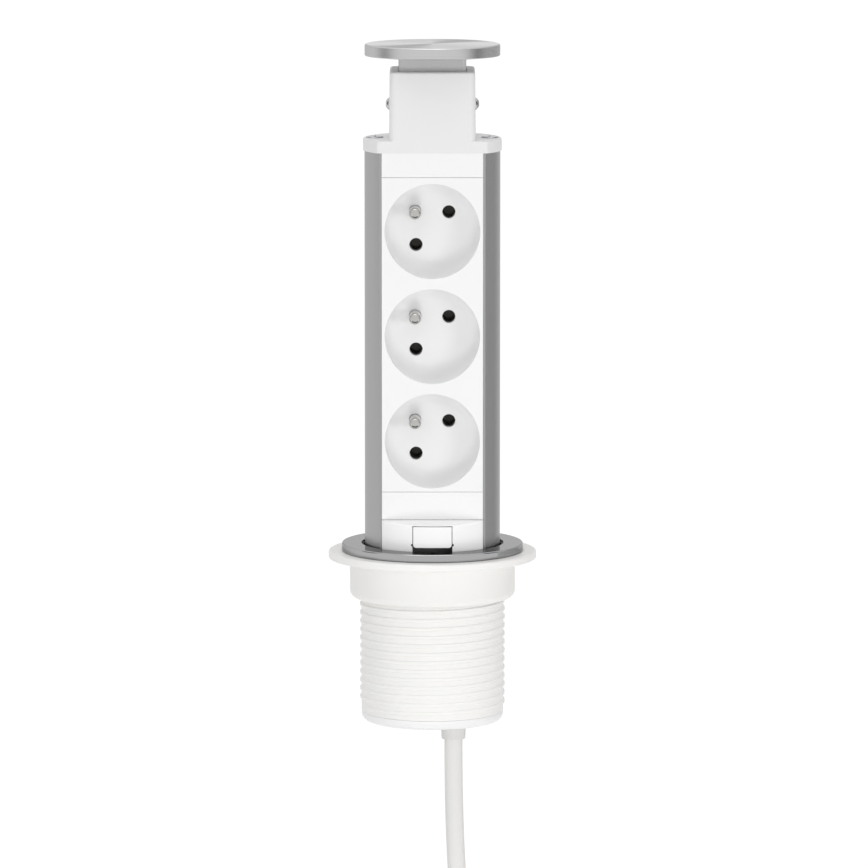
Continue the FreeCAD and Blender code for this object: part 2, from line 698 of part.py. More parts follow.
def make_guide_screw(side):
    """Domed screw through the block's wall, whose plain tip runs in the neck's slot."""
    seat_z = GUIDE_SCREW_Z - GUIDE_HEAD_R
    face = BLOCK_W / 2 - BLOCK_DRAFT * (seat_z - PLATE_TOP) / (BLOCK_TOP - PLATE_TOP)
    ball_r = (GUIDE_HEAD_R**2 + GUIDE_HEAD_H**2) / (2 * GUIDE_HEAD_H)
    ball = Part.makeSphere(ball_r, Vector(face + GUIDE_HEAD_H - ball_r, 0, GUIDE_SCREW_Z))
    dome = ball.common(bar_x(GUIDE_HEAD_R, face, face + GUIDE_HEAD_H + 1, 0, GUIDE_SCREW_Z))
    socket_floor = face + GUIDE_HEAD_H - GUIDE_SOCKET_DEPTH
    shank = bar_x(GUIDE_SCREW_R, NECK_W / 2 - GUIDE_TIP, socket_floor, 0, GUIDE_SCREW_Z)
    recess = hexagon(GUIDE_SOCKET_R).extrude(Vector(0, 0, GUIDE_SOCKET_DEPTH))
    recess.rotate(Vector(0, 0, 0), Vector(0, 1, 0), 90)
    recess.translate(Vector(socket_floor, 0, GUIDE_SCREW_Z))
    screw = joined(dome, shank).cut(recess)
    if side < 0:
        screw.rotate(Vector(0, 0, 0), Vector(0, 0, 1), 180)
    return screw


def hexagon(r):
    turns = [math.radians(60 * i) for i in range(7)]
    return Part.Face(Part.makePolygon([Vector(r * math.cos(a), r * math.sin(a), 0) for a in turns]))


def make_cap_neck():
    body = rounded_bar(NECK_W, NECK_CORNER, NECK_BOTTOM, CAP_BOTTOM)
    hollow = rounded_bar(NECK_W - 2 * NECK_WALL, NECK_CORNER / 2, NECK_BOTTOM - 1, WEB_BOTTOM)
    half = GUIDE_SCREW_R + GUIDE_SLOT_GAP
    low = GUIDE_SCREW_Z
    high = GUIDE_SCREW_Z + CAP_TRAVEL
    slot = joined(
        bar_x(half, -NECK_W, NECK_W, 0, low),
        bar_x(half, -NECK_W, NECK_W, 0, high),
        box(-NECK_W, NECK_W, -half, half, low, high),
    )
    holes = [post(CAP_HOLE_R, WEB_BOTTOM - 1, CAP_BOTTOM + 1, side * CAP_SCREW_X) for side in (-1, 1)]
    return cut_by(body, hollow, slot, *holes)


def make_cap_disc():
    disc = post(CAP_R, CAP_BOTTOM, CAP_BOTTOM + CAP_T)
    disc = round_edges(disc, CAP_EDGE, circle_edges(disc, CAP_R, CAP_BOTTOM + CAP_T))
    disc = round_edges(disc, CAP_EDGE / 2, circle_edges(disc, CAP_R, CAP_BOTTOM))
    hole_top = CAP_BOTTOM + CAP_SCREW_REACH + FACE_GAP
    holes = [post(CAP_HOLE_R, CAP_BOTTOM - 1, hole_top, side * CAP_SCREW_X) for side in (-1, 1)]
    return cut_by(disc, *holes)


def make_cap_screw(side):
    x = side * CAP_SCREW_X
    shank = post(CAP_SCREW_R, WEB_BOTTOM, CAP_BOTTOM + CAP_SCREW_REACH, x)
    head = post(CAP_SCREW_HEAD_R, WEB_BOTTOM - CAP_SCREW_R, WEB_BOTTOM, x)
    return joined(shank, head)


def make_cap_spring():
    spring = coil_spring(SPRING_R, SPRING_WIRE_R, SPRING_TURNS, WEB_BOTTOM - CAVITY_FLOOR - FACE_GAP)
    spring.translate(Vector(0, 0, CAVITY_FLOOR + FACE_GAP / 2))
    return spring


# Foot panel and latch


def make_foot_panel():
    panel = front_panel(FOOT_BOTTOM, FOOT_TOP - SEAM / 2)
    top = FOOT_TOP - SEAM / 2
    bulge = post(GUIDE_R, FOOT_BOTTOM, top).common(
        box(-PANEL_HALF_W, PANEL_HALF_W, -GUIDE_R, PANEL_BACK_Y, FOOT_BOTTOM, top)
    )
    slope = math.degrees(math.atan(SHELF_DROP / (GUIDE_R - COLUMN_FRONT)))
    shelf = box(-GUIDE_R, GUIDE_R, -2 * GUIDE_R, 0, 0, GUIDE_R)
    shelf.rotate(Vector(0, 0, 0), Vector(1, 0, 0), slope)
    shelf.translate(Vector(0, PANEL_FRONT_Y, top))
    bulge = bulge.cut(shelf)
    edge = [
        e
        for e in bulge.Edges
        if isinstance(e.Curve, Part.Ellipse) and e.BoundBox.ZMin > top - 2 * SHELF_DROP
    ]
    bulge = round_edges(bulge, FOOT_EDGE, edge)
    body = joined(panel, bulge)
    half = LATCH_HALF_W + LATCH_SIDE_GAP
    pocket_top = LATCH_TOP + POCKET_TOP_GAP
    cuts = [box(-half, half, -GUIDE_R - 1, -POCKET_BACK, POCKET_BOTTOM, pocket_top)]
    y = -LATCH_AXIS_R
    grip = half + LATCH_PIN_GRIP
    cuts.append(bar_x(LATCH_PIN_R + LATCH_PIN_CLEAR, -grip, grip, y, LATCH_AXIS_Z))
    for side in (-1, 1):
        relief_z = LATCH_BOTTOM + LATCH_CORNER
        cuts.append(bar_y(RELIEF_R, -GUIDE_R - 1, -POCKET_BACK, side * half, relief_z))
    return cut_by(body, *cuts)


def make_latch_tab():
    """Button tongue on the foot's round face, tipped out so that its lower edge catches the sleeve."""
    outer = GUIDE_R
    body = ring(outer, outer - LATCH_T, LATCH_BOTTOM, LATCH_TOP)
    body = body.common(box(-LATCH_HALF_W, LATCH_HALF_W, -outer - 1, 0, LATCH_BOTTOM, LATCH_TOP))
    corners = []
    for e in body.Edges:
        low = abs(e.BoundBox.ZMin - LATCH_BOTTOM) < 1e-6 and abs(e.BoundBox.ZMax - LATCH_BOTTOM) < 1e-6
        if low and e.BoundBox.XMax - e.BoundBox.XMin < 1e-6:
            corners.append(e)
    body = round_edges(body, LATCH_CORNER, corners)
    knuckle = bar_x(LATCH_KNUCKLE_R, -LATCH_HALF_W, LATCH_HALF_W, -LATCH_AXIS_R, LATCH_AXIS_Z)
    knuckle = knuckle.common(post(outer, LATCH_BOTTOM, LATCH_TOP + 1))
    body = joined(body, knuckle)
    bore_r = LATCH_PIN_R + LATCH_PIN_CLEAR / 2
    body = body.cut(bar_x(bore_r, -LATCH_HALF_W, LATCH_HALF_W, -LATCH_AXIS_R, LATCH_AXIS_Z))
    body.rotate(Vector(0, -LATCH_AXIS_R, LATCH_AXIS_Z), Vector(1, 0, 0), -LATCH_TILT)
    return body


def make_latch_pin():
    reach = LATCH_HALF_W + LATCH_SIDE_GAP + LATCH_PIN_GRIP - FACE_GAP
    return bar_x(LATCH_PIN_R, -reach, reach, -LATCH_AXIS_R, LATCH_AXIS_Z)


def make_latch_spring():
    drop = LATCH_AXIS_Z - LATCH_SPRING_Z - LATCH_SPRING_R
    tab_back = GUIDE_R - LATCH_T + drop * math.tan(math.radians(LATCH_TILT))
    length = tab_back - POCKET_BACK - 2 * LATCH_SPRING_GAP
    spring = coil_spring(LATCH_SPRING_R, LATCH_SPRING_WIRE_R, LATCH_SPRING_TURNS, length)
    spring.rotate(Vector(0, 0, 0), Vector(1, 0, 0), 90)
    spring.translate(Vector(0, -POCKET_BACK - LATCH_SPRING_GAP, LATCH_SPRING_Z))
    return spring


# Bottom housing and cord inlet


def make_bottom_housing():
    wall_r = GUIDE_R - HOUSING_WALL
    shell = post(GUIDE_R, HOUSING_BOTTOM, HOUSING_TOP)
    flange = post(THREAD_ROOT_R - FACE_GAP / 2, HOUSING_BOTTOM, FLANGE_TOP)
    body = joined(shell, flange)
    body = round_edges(body, HOUSING_EDGE, rim_edges(body, HOUSING_BOTTOM))
    body = body.cut(post(wall_r, FLOOR_TOP, HOUSING_TOP + 1))
    inside = post(GUIDE_R - HOUSING_WALL / 2, FLOOR_TOP - 1, HOUSING_TOP)
    low = FLOOR_TOP - 1
    columns = [post(HOUSING_COLUMN_R, low, HOUSING_TOP, side * PORT_X).common(inside) for side in (-1, 1)]
    key_back = wall_r + HOUSING_WALL / 2
    key_seat = box(-KEY_W, KEY_W, KEY_FLOOR_R - COLUMN_WALL, key_back, low, HOUSING_TOP)
    boss = box(
        CORD_X - CLAMP_HALF_W,
        CORD_X + CLAMP_HALF_W,
        -2 * CLAMP_H,
        -CORD_R - SCREW_CLEAR,
        low,
        CLAMP_BOTTOM + CLAMP_H,
    )
    body = joined(body, *columns, key_seat, boss)
    half = KEY_SEAT_HALF_W
    key_way = box(-half, half, KEY_FLOOR_R, THREAD_ROOT_R, FLANGE_TOP, HOUSING_TOP)
    under = HOUSING_BOTTOM - 1
    cuts = [key_way, post(GLAND_R + GLAND_CLEAR, under, FLOOR_TOP, CORD_X)]
    for x, hole_x in zip((-PORT_X, PORT_X), CLAMP_SCREW_PLACES):
        cuts.append(post(PORT_SCREW_R + GUIDE_CLEAR, under, HOUSING_TOP, x))
        cuts.append(post(COLUMN_HEAD_R + FACE_GAP, under, HOUSING_BOTTOM + COLUMN_SCREW_SUNK, x))
        cuts.append(bar_y(CLAMP_HOLE_R, CLAMP_SCREW_TIP - FACE_GAP, 0, hole_x, CLAMP_SCREW_Z))
    return cut_by(body, *cuts)


def make_column_screw(side):
    x = side * PORT_X
    seat = HOUSING_BOTTOM + COLUMN_SCREW_SUNK
    face = HOUSING_BOTTOM + FACE_GAP
    shank = post(PORT_SCREW_R, seat, HOUSING_TOP + COLUMN_SCREW_GRIP, x)
    head = post(COLUMN_HEAD_R, face, seat, x)
    slot = cross_slot(COLUMN_HEAD_R, COLUMN_SCREW_SUNK / 2)
    slot.rotate(Vector(0, 0, 0), Vector(1, 0, 0), 180)
    slot.translate(Vector(x, 0, face))
    return joined(shank, head).cut(slot)


def make_cord_gland():
    bore = CORD_R + GLAND_CLEAR
    sleeve = Part.makeCone(
        GLAND_R - GLAND_TAPER, GLAND_R, GLAND_LENGTH, Vector(CORD_X, 0, GLAND_END), Vector(0, 0, 1)
    )
    waist = post(GLAND_R, HOUSING_BOTTOM, FLOOR_TOP, CORD_X)
    collar = post(GLAND_COLLAR_R, FLOOR_TOP, FLOOR_TOP + GLAND_COLLAR_T, CORD_X)
    reach = GLAND_COLLAR_R
    flat = box(CORD_X - reach, CORD_X + reach, -reach, -CORD_R, FLOOR_TOP, FLOOR_TOP + GLAND_COLLAR_T)
    body = joined(sleeve, waist, collar.cut(flat))
    return body.cut(post(bore, GLAND_END, FLOOR_TOP + GLAND_COLLAR_T, CORD_X))


def make_cord_inlet():
    return post(CORD_R, GLAND_END, JACKET_TOP, CORD_X)


def make_cord_clamp():
    """Saddle that presses the cord's jacket against the housing's boss."""
    z0, z1 = CLAMP_BOTTOM, CLAMP_TOP
    body = box(CORD_X - CLAMP_HALF_W, CORD_X + CLAMP_HALF_W, -CORD_R, CLAMP_BACK_Y, z0, z1)
    half = CORD_R + SCREW_CLEAR
    channel = joined(post(half, z0, z1, CORD_X), box(CORD_X - half, CORD_X + half, -half, 0, z0, z1))
    holes = [bar_y(CLAMP_HOLE_R, -half, CLAMP_BACK_Y, x, CLAMP_SCREW_Z) for x in CLAMP_SCREW_PLACES]
    return cut_by(body, channel, *holes)


def make_clamp_screw(x):
    shank = bar_y(CLAMP_SCREW_R, CLAMP_SCREW_TIP, CLAMP_BACK_Y, x, CLAMP_SCREW_Z)
    head = bar_y(CLAMP_HEAD_R, CLAMP_BACK_Y, CLAMP_BACK_Y + CLAMP_HEAD_H, x, CLAMP_SCREW_Z)
    return joined(shank, head)


# Cords and wires


def rounded_path(points):
    """Straight runs joined by tangent arcs, each as large as its two runs allow, and the arcs' radii."""
    edges = []
    radii = []
    start = points[0]
    for before, corner, after in zip(points, points[1:], points[2:]):
        towards = (before - corner).normalize()
        onward = (after - corner).normalize()
        half_turn = (math.pi - towards.getAngle(onward)) / 2
        leg = 0.45 * min((before - corner).Length, (after - corner).Length)
        first = corner + towards * leg
        last = corner + onward * leg
        radius = leg / math.tan(half_turn)
        bisector = (towards + onward).normalize()
        middle = corner + bisector * (radius / math.cos(half_turn) - radius)
        edges.append(Part.LineSegment(start, first).toShape())
        edges.append(Part.Arc(first, middle, last).toShape())
        radii.append(radius)
        start = last
    edges.append(Part.LineSegment(start, points[-1]).toShape())
    return Part.Wire(edges), radii


def tube_on(wire, r):
    first = wire.Edges[0]
    start = first.valueAt(first.FirstParameter)
    section = Part.Wire(Part.makeCircle(r, start, first.tangentAt(first.FirstParameter)))
    return wire.makePipeShell([section], True, False)


def make_wire(dx, dy, end_x, end_y):
    """Insulated core from the cord's jacket to a strip's lower end."""
    rise = STRIP_BOTTOM - JACKET_TOP
    points = [
        Vector(CORD_X + dx, dy, JACKET_TOP),
        Vector(CORD_X + dx, dy, JACKET_TOP + rise * WIRE_BEND_LOW),
        Vector(end_x, end_y, JACKET_TOP + rise * WIRE_BEND_HIGH),
        Vector(end_x, end_y, STRIP_BOTTOM),
    ]
    path, _ = rounded_path(points)
    return tube_on(path, WIRE_R)


CORD_POINTS = [
    Vector(CORD_X, 0, GLAND_END),
    Vector(CORD_X, 0, GLAND_END - CORD_RUN),
    Vector(CORD_X + CORD_SHIFT, 0, GLAND_END - 2 * CORD_RUN),
    Vector(CORD_X + CORD_SHIFT, 0, GLAND_END - 2 * CORD_RUN - LAST_RUN),
]

# The hank: whole turns from the waist of its right run, spiralling out on one layer and in on the next
HANK_START = CORD_POINTS[-1]
HANK_OUTER_R = FOLD_R + HANK_STEP * HANK_TURNS / 2
HANK_X = HANK_START.x - FOLD_R + HANK_WAIST
HANK_MID_Z = HANK_START.z
LAYER_Y = [HANK_START.y + HANK_LAYER * i for i in range(1, 4)]


def hank_radius(t):
    return HANK_OUTER_R - HANK_STEP * abs(t - HANK_TURNS / 2)


def hank_station(k):
    """Place and heading at eighth k of a turn: waist, fold start, apex, fold end, waist and so on."""
    t = k / 8
    r = hank_radius(t)
    half = HANK_RUN / 2
    places = [
        (r - HANK_WAIST, 0, 0, -1),
        (r, -half, 0, -1),
        (0, -half - r, -1, 0),
        (-r, -half, 0, 1),
        (-r + HANK_WAIST, 0, 0, 1),
        (-r, half, 0, 1),
        (0, half + r, 1, 0),
        (r, half, 0, -1),
    ]
    x, z, heading_x, heading_z = places[k % 8]
    heading = Vector(heading_x, 0, heading_z)
    if k == 0:
        y = HANK_START.y
    elif t < HANK_TURNS / 2:
        y = LAYER_Y[0]
    elif t == HANK_TURNS / 2:
        y = (LAYER_Y[0] + LAYER_Y[1]) / 2
        heading = Vector(0, 2 * HANK_LAYER / HANK_RUN, heading_z).normalize()
    elif t <= HANK_TURNS:
        y = LAYER_Y[1]
    else:
        y = LAYER_Y[2]
    return Vector(HANK_X + x, y, HANK_MID_Z + z), heading


def arc_from(start, heading, end):
    """The arc, or straight line, that leaves the start along the heading and reaches the end."""
    chord = end - start
    across = chord - heading * chord.dot(heading)
    if across.Length < 1e-6:
        return Part.LineSegment(start, end).toShape()
    side = Vector(across).normalize()
    radius = chord.Length**2 / (2 * across.Length)
    centre = start + side * radius
    half = (start + end) * 0.5 - centre
    if chord.dot(heading) < 0:
        half = half * -1
    return Part.Arc(start, centre + half.normalize() * radius, end).toShape()


def biarc(p0, t0, p1, t1):
    """Two tangent arcs from one place and heading to the next."""
    v = p1 - p0
    both = t0 + t1
    share = 2 * (1 - t0.dot(t1))
    along = v.dot(both)
    if share < 1e-9:
        d = v.dot(v) / (2 * along)
    else:
        d = (math.sqrt(along**2 + share * v.dot(v)) - along) / share
    joint = (p0 + p1 + (t0 - t1) * d) * 0.5
    middle = (joint - p0 - t0 * d).normalize()
    return [arc_from(p0, t0, joint), arc_from(joint, middle, p1)]


def hank_path():
    edges = []
    last = 8 * HANK_TURNS + 1
    lead = Vector(0, 0, -2 * CORD_R)
    places = [hank_station(k) for k in range(last + 1)]
    first_place, first_heading = places[0]
    edges.append(Part.LineSegment(first_place, first_place + lead).toShape())
    places[0] = (first_place + lead, first_heading)
    for (p0, t0), (p1, t1) in zip(places, places[1:]):
        edges += biarc(p0, t0, p1, t1)
    end = places[-1][0]
    edges.append(Part.LineSegment(end, end + lead).toShape())
    return Part.Wire(edges), end + lead


def least_gap(wire, r):
    """The least space between the tube and itself, measured on points of its line."""
    step = 2.0
    points = wire.discretize(Distance=step)
    skip = int(math.pi * 2 * r / step) + 2
    least = min(
        (points[i] - points[j]).Length for i in range(len(points)) for j in range(i + skip, len(points))
    )
    return least - 2 * r


HANK_WIRE, HANK_END = hank_path()


def make_hank_tie():
    """Strap round the hank's waist and the cord that runs into it."""
    half_x = HANK_OUTER_R - HANK_WAIST + CORD_R + TIE_GAP
    y0 = HANK_START.y - CORD_R - TIE_GAP
    y1 = LAYER_Y[1] + CORD_R + TIE_GAP
    z0 = HANK_MID_Z - TIE_W / 2

    def band(grow):
        corner = CORD_R + grow
        body = box(HANK_X - half_x - grow, HANK_X + half_x + grow, y0 - grow, y1 + grow, z0, z0 + TIE_W)
        edges = [e for e in body.Edges if e.BoundBox.ZMax - e.BoundBox.ZMin > TIE_W / 2]
        return body.makeFillet(corner, edges)

    return band(TIE_T).cut(band(0.0))


# Plug


PLUG_TOP = HANK_END.z - CORD_TAIL
PLUG_X = HANK_END.x
PLUG_Y = HANK_END.y
PLUG_FACE = PLUG_TOP - PLUG_NECK - PLUG_LENGTH
PLUG_PIN_PLACES = (PLUG_Y - PIN_PITCH / 2, PLUG_Y + PIN_PITCH / 2)


def make_plug_body():
    """Straight plug body with a tapered neck, side grooves for the earth clips and an earth hole."""
    shoulder = PLUG_TOP - PLUG_NECK
    body = post(PLUG_R, PLUG_FACE, shoulder, PLUG_X, PLUG_Y)
    body = body.makeFillet(PLUG_SHOULDER, rim_edges(body, shoulder))
    place = Vector(PLUG_X, PLUG_Y, shoulder)
    neck = Part.makeCone(PLUG_SHOULDER_R, PLUG_NECK_R, PLUG_NECK, place, Vector(0, 0, 1))
    groove_top = PLUG_FACE + CLIP_LENGTH + CLIP_INSET + FACE_GAP
    grooves = []
    for side in (-1, 1):
        half = CLIP_HALF_W + FACE_GAP
        groove = side_box(side, PLUG_SIDE_FLAT, PLUG_R, -half, half, PLUG_FACE, groove_top)
        grooves.append(groove.translated(Vector(PLUG_X, PLUG_Y, 0)))
    pins = [post(PLUG_PIN_R, PLUG_FACE, PLUG_FACE + PLUG_PIN_ROOT, PLUG_X, y) for y in PLUG_PIN_PLACES]
    earth_r = EARTH_PIN_R + EARTH_HOLE_CLEAR
    earth = post(earth_r, PLUG_FACE, PLUG_FACE + EARTH_PIN_LENGTH + 1, PLUG_X + EARTH_RADIUS, PLUG_Y)
    return cut_by(joined(body, neck), *grooves, *pins, earth)


def make_plug_pin(y):
    tip = PLUG_FACE - PLUG_PIN_LENGTH
    pin = post(PLUG_PIN_R, tip, PLUG_FACE + PLUG_PIN_ROOT, PLUG_X, y)
    return pin.makeFillet(PLUG_PIN_R * PIN_NOSE, rim_edges(pin, tip))


def make_plug_earth_clip(side):
    z0 = PLUG_FACE + CLIP_INSET
    half = CLIP_HALF_W
    clip = side_box(side, PLUG_SIDE_FLAT, PLUG_SIDE_FLAT + CLIP_T, -half, half, z0, z0 + CLIP_LENGTH)
    return clip.translated(Vector(PLUG_X, PLUG_Y, 0))


def all_parts():
    strip_y = CARRIER_BACK_Y + STRIP_T / 2
    cord_wire, radii = rounded_path(CORD_POINTS)
    cord = tube_on(cord_wire, CORD_R)
    hank = tube_on(HANK_WIRE, CORD_R)
    print("cord radii", [round(r, 1) for r in radii])
    for name, solid, wire in (("cord", cord, cord_wire), ("hank", hank, HANK_WIRE)):
        share = solid.Volume / (wire.Length * math.pi * CORD_R**2)
        print(name, "length", round(wire.Length, 1), "volume over section times length", round(share, 4))
    print("hank least gap", round(least_gap(HANK_WIRE, CORD_R), 2))
    print("whole cord", round(cord_wire.Length + HANK_WIRE.Length + CORD_TAIL, 1))
    parts = {
        "trim_ring": make_trim_ring(),
        "threaded_sleeve": make_threaded_sleeve(),
        "pressure_washer": make_pressure_washer(),
        "clamp_nut": make_clamp_nut(),
        "column_profile": make_column_profile(),
        "upper_blank": make_upper_blank(),
        "socket_fascia": make_socket_fascia(),
        "lower_blank": make_lower_blank(),
        "inlet_cover": make_inlet_cover(),
        "earth_pins": [make_earth_pin(z) for z in SOCKET_Z],
        "earth_strip": make_earth_strip(),
        "line_strip": make_contact_strip(1),
        "neutral_strip": make_contact_strip(-1),
        "contact_carrier": make_contact_carrier(),
        "contact_cover": make_contact_cover(),
        "cover_screws": make_cover_screws(),
        "head_housing": make_head_housing(),
        "plate_screws": pair(make_plate_screw),
        "guide_screws": pair(make_guide_screw),
        "cap_disc": make_cap_disc(),
        "cap_neck": make_cap_neck(),
        "cap_screws": pair(make_cap_screw),
        "cap_spring": make_cap_spring(),
        "foot_panel": make_foot_panel(),
        "latch_tab": make_latch_tab(),
        "latch_pin": make_latch_pin(),
        "latch_spring": make_latch_spring(),
        "bottom_housing": make_bottom_housing(),
        "column_screws": pair(make_column_screw),
        "cord_gland": make_cord_gland(),
        "cord_inlet": make_cord_inlet(),
        "cord_clamp": make_cord_clamp(),
        "clamp_screws": [make_clamp_screw(x) for x in CLAMP_SCREW_PLACES],
        "line_wire": make_wire(WIRE_SPREAD, 0, PIN_OFFSET, strip_y),
        "neutral_wire": make_wire(-WIRE_SPREAD, WIRE_SPREAD / 2, -PIN_OFFSET, strip_y),
        "earth_wire": make_wire(-WIRE_SPREAD / 2, -WIRE_SPREAD, EARTH_STRIP_X, INSERT_BACK_Y + STRIP_T / 2),
        "cord_run": cord,
        "cord_hank": hank,
        "cord_tail": post(CORD_R, PLUG_TOP, HANK_END.z, PLUG_X, PLUG_Y),
        "hank_tie": make_hank_tie(),
        "plug_body": make_plug_body(),
        "plug_pins": [make_plug_pin(y) for y in PLUG_PIN_PLACES],
        "plug_earth_clips": pair(make_plug_earth_clip),
    }
    for number, z in enumerate(SOCKET_Z, 1):
        parts[f"socket_insert_{number}"] = make_socket_insert(z)
    return parts


os.makedirs("parts", exist_ok=True)
for part_name, made in all_parts().items():
    solids = made if isinstance(made, list) else [made]
    solids = [s for shape in solids for s in shape.Solids]
    whole = solids[0] if len(solids) == 1 else Part.makeCompound(solids)
    print(part_name, len(solids), round(whole.Volume, 1), "valid" if whole.isValid() else "NOT VALID")
    whole.exportStep(f"parts/{part_name}.step")
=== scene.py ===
"""Desk socket tower: materials, studio, camera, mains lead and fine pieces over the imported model."""

import json
import logging
import math
from dataclasses import dataclass
from enum import Enum

import bpy
import numpy as np
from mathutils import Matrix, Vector


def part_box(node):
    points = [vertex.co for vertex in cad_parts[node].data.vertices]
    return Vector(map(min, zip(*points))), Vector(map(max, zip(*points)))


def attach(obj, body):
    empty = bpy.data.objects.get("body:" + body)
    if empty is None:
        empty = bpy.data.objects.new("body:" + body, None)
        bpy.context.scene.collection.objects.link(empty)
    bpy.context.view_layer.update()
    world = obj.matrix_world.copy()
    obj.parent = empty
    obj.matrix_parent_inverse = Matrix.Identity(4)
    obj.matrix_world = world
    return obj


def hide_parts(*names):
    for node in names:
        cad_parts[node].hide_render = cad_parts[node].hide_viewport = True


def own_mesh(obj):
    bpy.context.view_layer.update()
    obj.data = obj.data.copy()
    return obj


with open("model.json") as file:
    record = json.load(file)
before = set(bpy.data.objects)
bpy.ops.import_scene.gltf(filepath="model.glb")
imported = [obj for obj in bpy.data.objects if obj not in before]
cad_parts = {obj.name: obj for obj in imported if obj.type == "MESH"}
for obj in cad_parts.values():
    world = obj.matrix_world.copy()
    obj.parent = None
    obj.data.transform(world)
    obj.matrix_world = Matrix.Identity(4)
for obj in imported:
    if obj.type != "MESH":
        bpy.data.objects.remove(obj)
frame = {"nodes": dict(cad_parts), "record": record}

logging.basicConfig(level=logging.INFO, format="%(message)s")
log = logging.getLogger("desk_socket_tower")

MM = 0.001
# Width and height of the photograph, in pixels
PHOTO_PX = 868
WHITE = (1.0, 1.0, 1.0, 1.0)
# Numbers of a colour mix node's two colour inputs and of its colour output
MIX_FIRST, MIX_SECOND, MIX_RESULT = 6, 7, 2


class Side(Enum):
    """The two sides of the tower's middle plane, by the sign of X."""

    LEFT = -1
    RIGHT = 1


def linear(hex_colour: str) -> tuple[float, float, float, float]:
    """Turns an sRGB colour into the linear values that shaders take.

    Args:
        hex_colour: Six hexadecimal digits, such as "f1f1f0".

    Returns:
        Linear red, green and blue, and an alpha of 1.
    """
    channels = []
    for start in (0, 2, 4):
        c = int(hex_colour[start:start + 2], 16) / 255
        channels.append(c / 12.92 if c <= 0.04045 else ((c + 0.055) / 1.055) ** 2.4)
    return (*channels, 1.0)


def shade(colour: tuple[float, ...], factor: float) -> tuple[float, float, float, float]:
    """The colour made lighter or darker, held under 1."""
    return (*(min(1.0, c * factor) for c in colour[:3]), 1.0)


def per_metre(millimetres: float) -> float:
    """Texture scale at which one feature measures this many millimetres."""
    return 1.0 / (millimetres * MM)


def add_node(
    tree: bpy.types.NodeTree, kind: str, settings: dict | None = None, links: dict | None = None
) -> bpy.types.Node:
    """Adds one shader node, sets its values and links its inputs.

    Args:
        tree: The node tree that gets the node.
        kind: The node's type name.
        settings: Attribute names, or input names or numbers, with their values.
        links: Input names or numbers with the output sockets that feed them.

    Returns:
        The new node.
    """
    node = tree.nodes.new(kind)
    for name, value in (settings or {}).items():
        if isinstance(name, str) and hasattr(node, name):
            setattr(node, name, value)
        else:
            node.inputs[name].default_value = value
    for name, socket in (links or {}).items():
        tree.links.new(socket, node.inputs[name])
    return node


def new_material(name: str) -> tuple[bpy.types.Material, bpy.types.NodeTree, bpy.types.Node]:
    """Makes a plain material.

    Args:
        name: The material's name.

    Returns:
        The material, its nodes and its surface shader.
    """
    material = bpy.data.materials.new(name)
    material.use_nodes = True
    tree = material.node_tree
    return material, tree, tree.nodes["Principled BSDF"]


def radius_and_height(
    tree: bpy.types.NodeTree, place: bpy.types.NodeSocket
) -> tuple[bpy.types.NodeSocket, bpy.types.NodeSocket]:
    """Measures a place on a piece from the tower's axis and from the desk's face.

    Args:
        tree: The material's nodes.
        place: The place on the piece.

    Returns:
        Sockets that hold the distance from Z and the height.
    """
    flat = add_node(tree, "ShaderNodeVectorMath", {"operation": "MULTIPLY", 1: (1, 1, 0)}, {0: place})
    radius = add_node(tree, "ShaderNodeVectorMath", {"operation": "LENGTH"}, {0: flat.outputs[0]})
    height = add_node(tree, "ShaderNodeSeparateXYZ", links={0: place})
    return radius.outputs["Value"], height.outputs["Z"]


def grid_faces(rows: int, columns: int, rows_close: bool = False, columns_close: bool = False) -> np.ndarray:
    """Joins the points of a grid, listed row by row, with four-sided faces.

    The face at row i and column j has the corners (i, j), (i, j + 1), (i + 1, j + 1) and (i + 1, j).

    Args:
        rows: How many rows of points there are.
        columns: How many points a row has.
        rows_close: Whether the last row joins the first.
        columns_close: Whether each row's last point joins its first.

    Returns:
        One row of four point numbers for each face.
    """
    i, j = np.meshgrid(
        np.arange(rows if rows_close else rows - 1),
        np.arange(columns if columns_close else columns - 1),
        indexing="ij",
    )
    next_i, next_j = (i + 1) % rows, (j + 1) % columns
    corners = [i * columns + j, i * columns + next_j, next_i * columns + next_j, next_i * columns + j]
    return np.stack(corners, axis=-1).reshape(-1, 4)


def mesh_object(
    name: str, points: np.ndarray, faces: list[list[int]], material: bpy.types.Material
) -> bpy.types.Object:
    """Makes a smooth mesh object from points in metres.

    Args:
        name: The piece's name.
        points: An array of points, one row each.
        faces: The point numbers of each face.
        material: The piece's finish.

    Returns:
        The new object.
    """
    mesh = bpy.data.meshes.new(name)
    mesh.from_pydata(points.tolist(), [], faces)
    mesh.polygons.foreach_set("use_smooth", np.ones(len(mesh.polygons), dtype=bool))
    mesh.materials.append(material)
    obj = bpy.data.objects.new(name, mesh)
    bpy.context.scene.collection.objects.link(obj)
    return obj


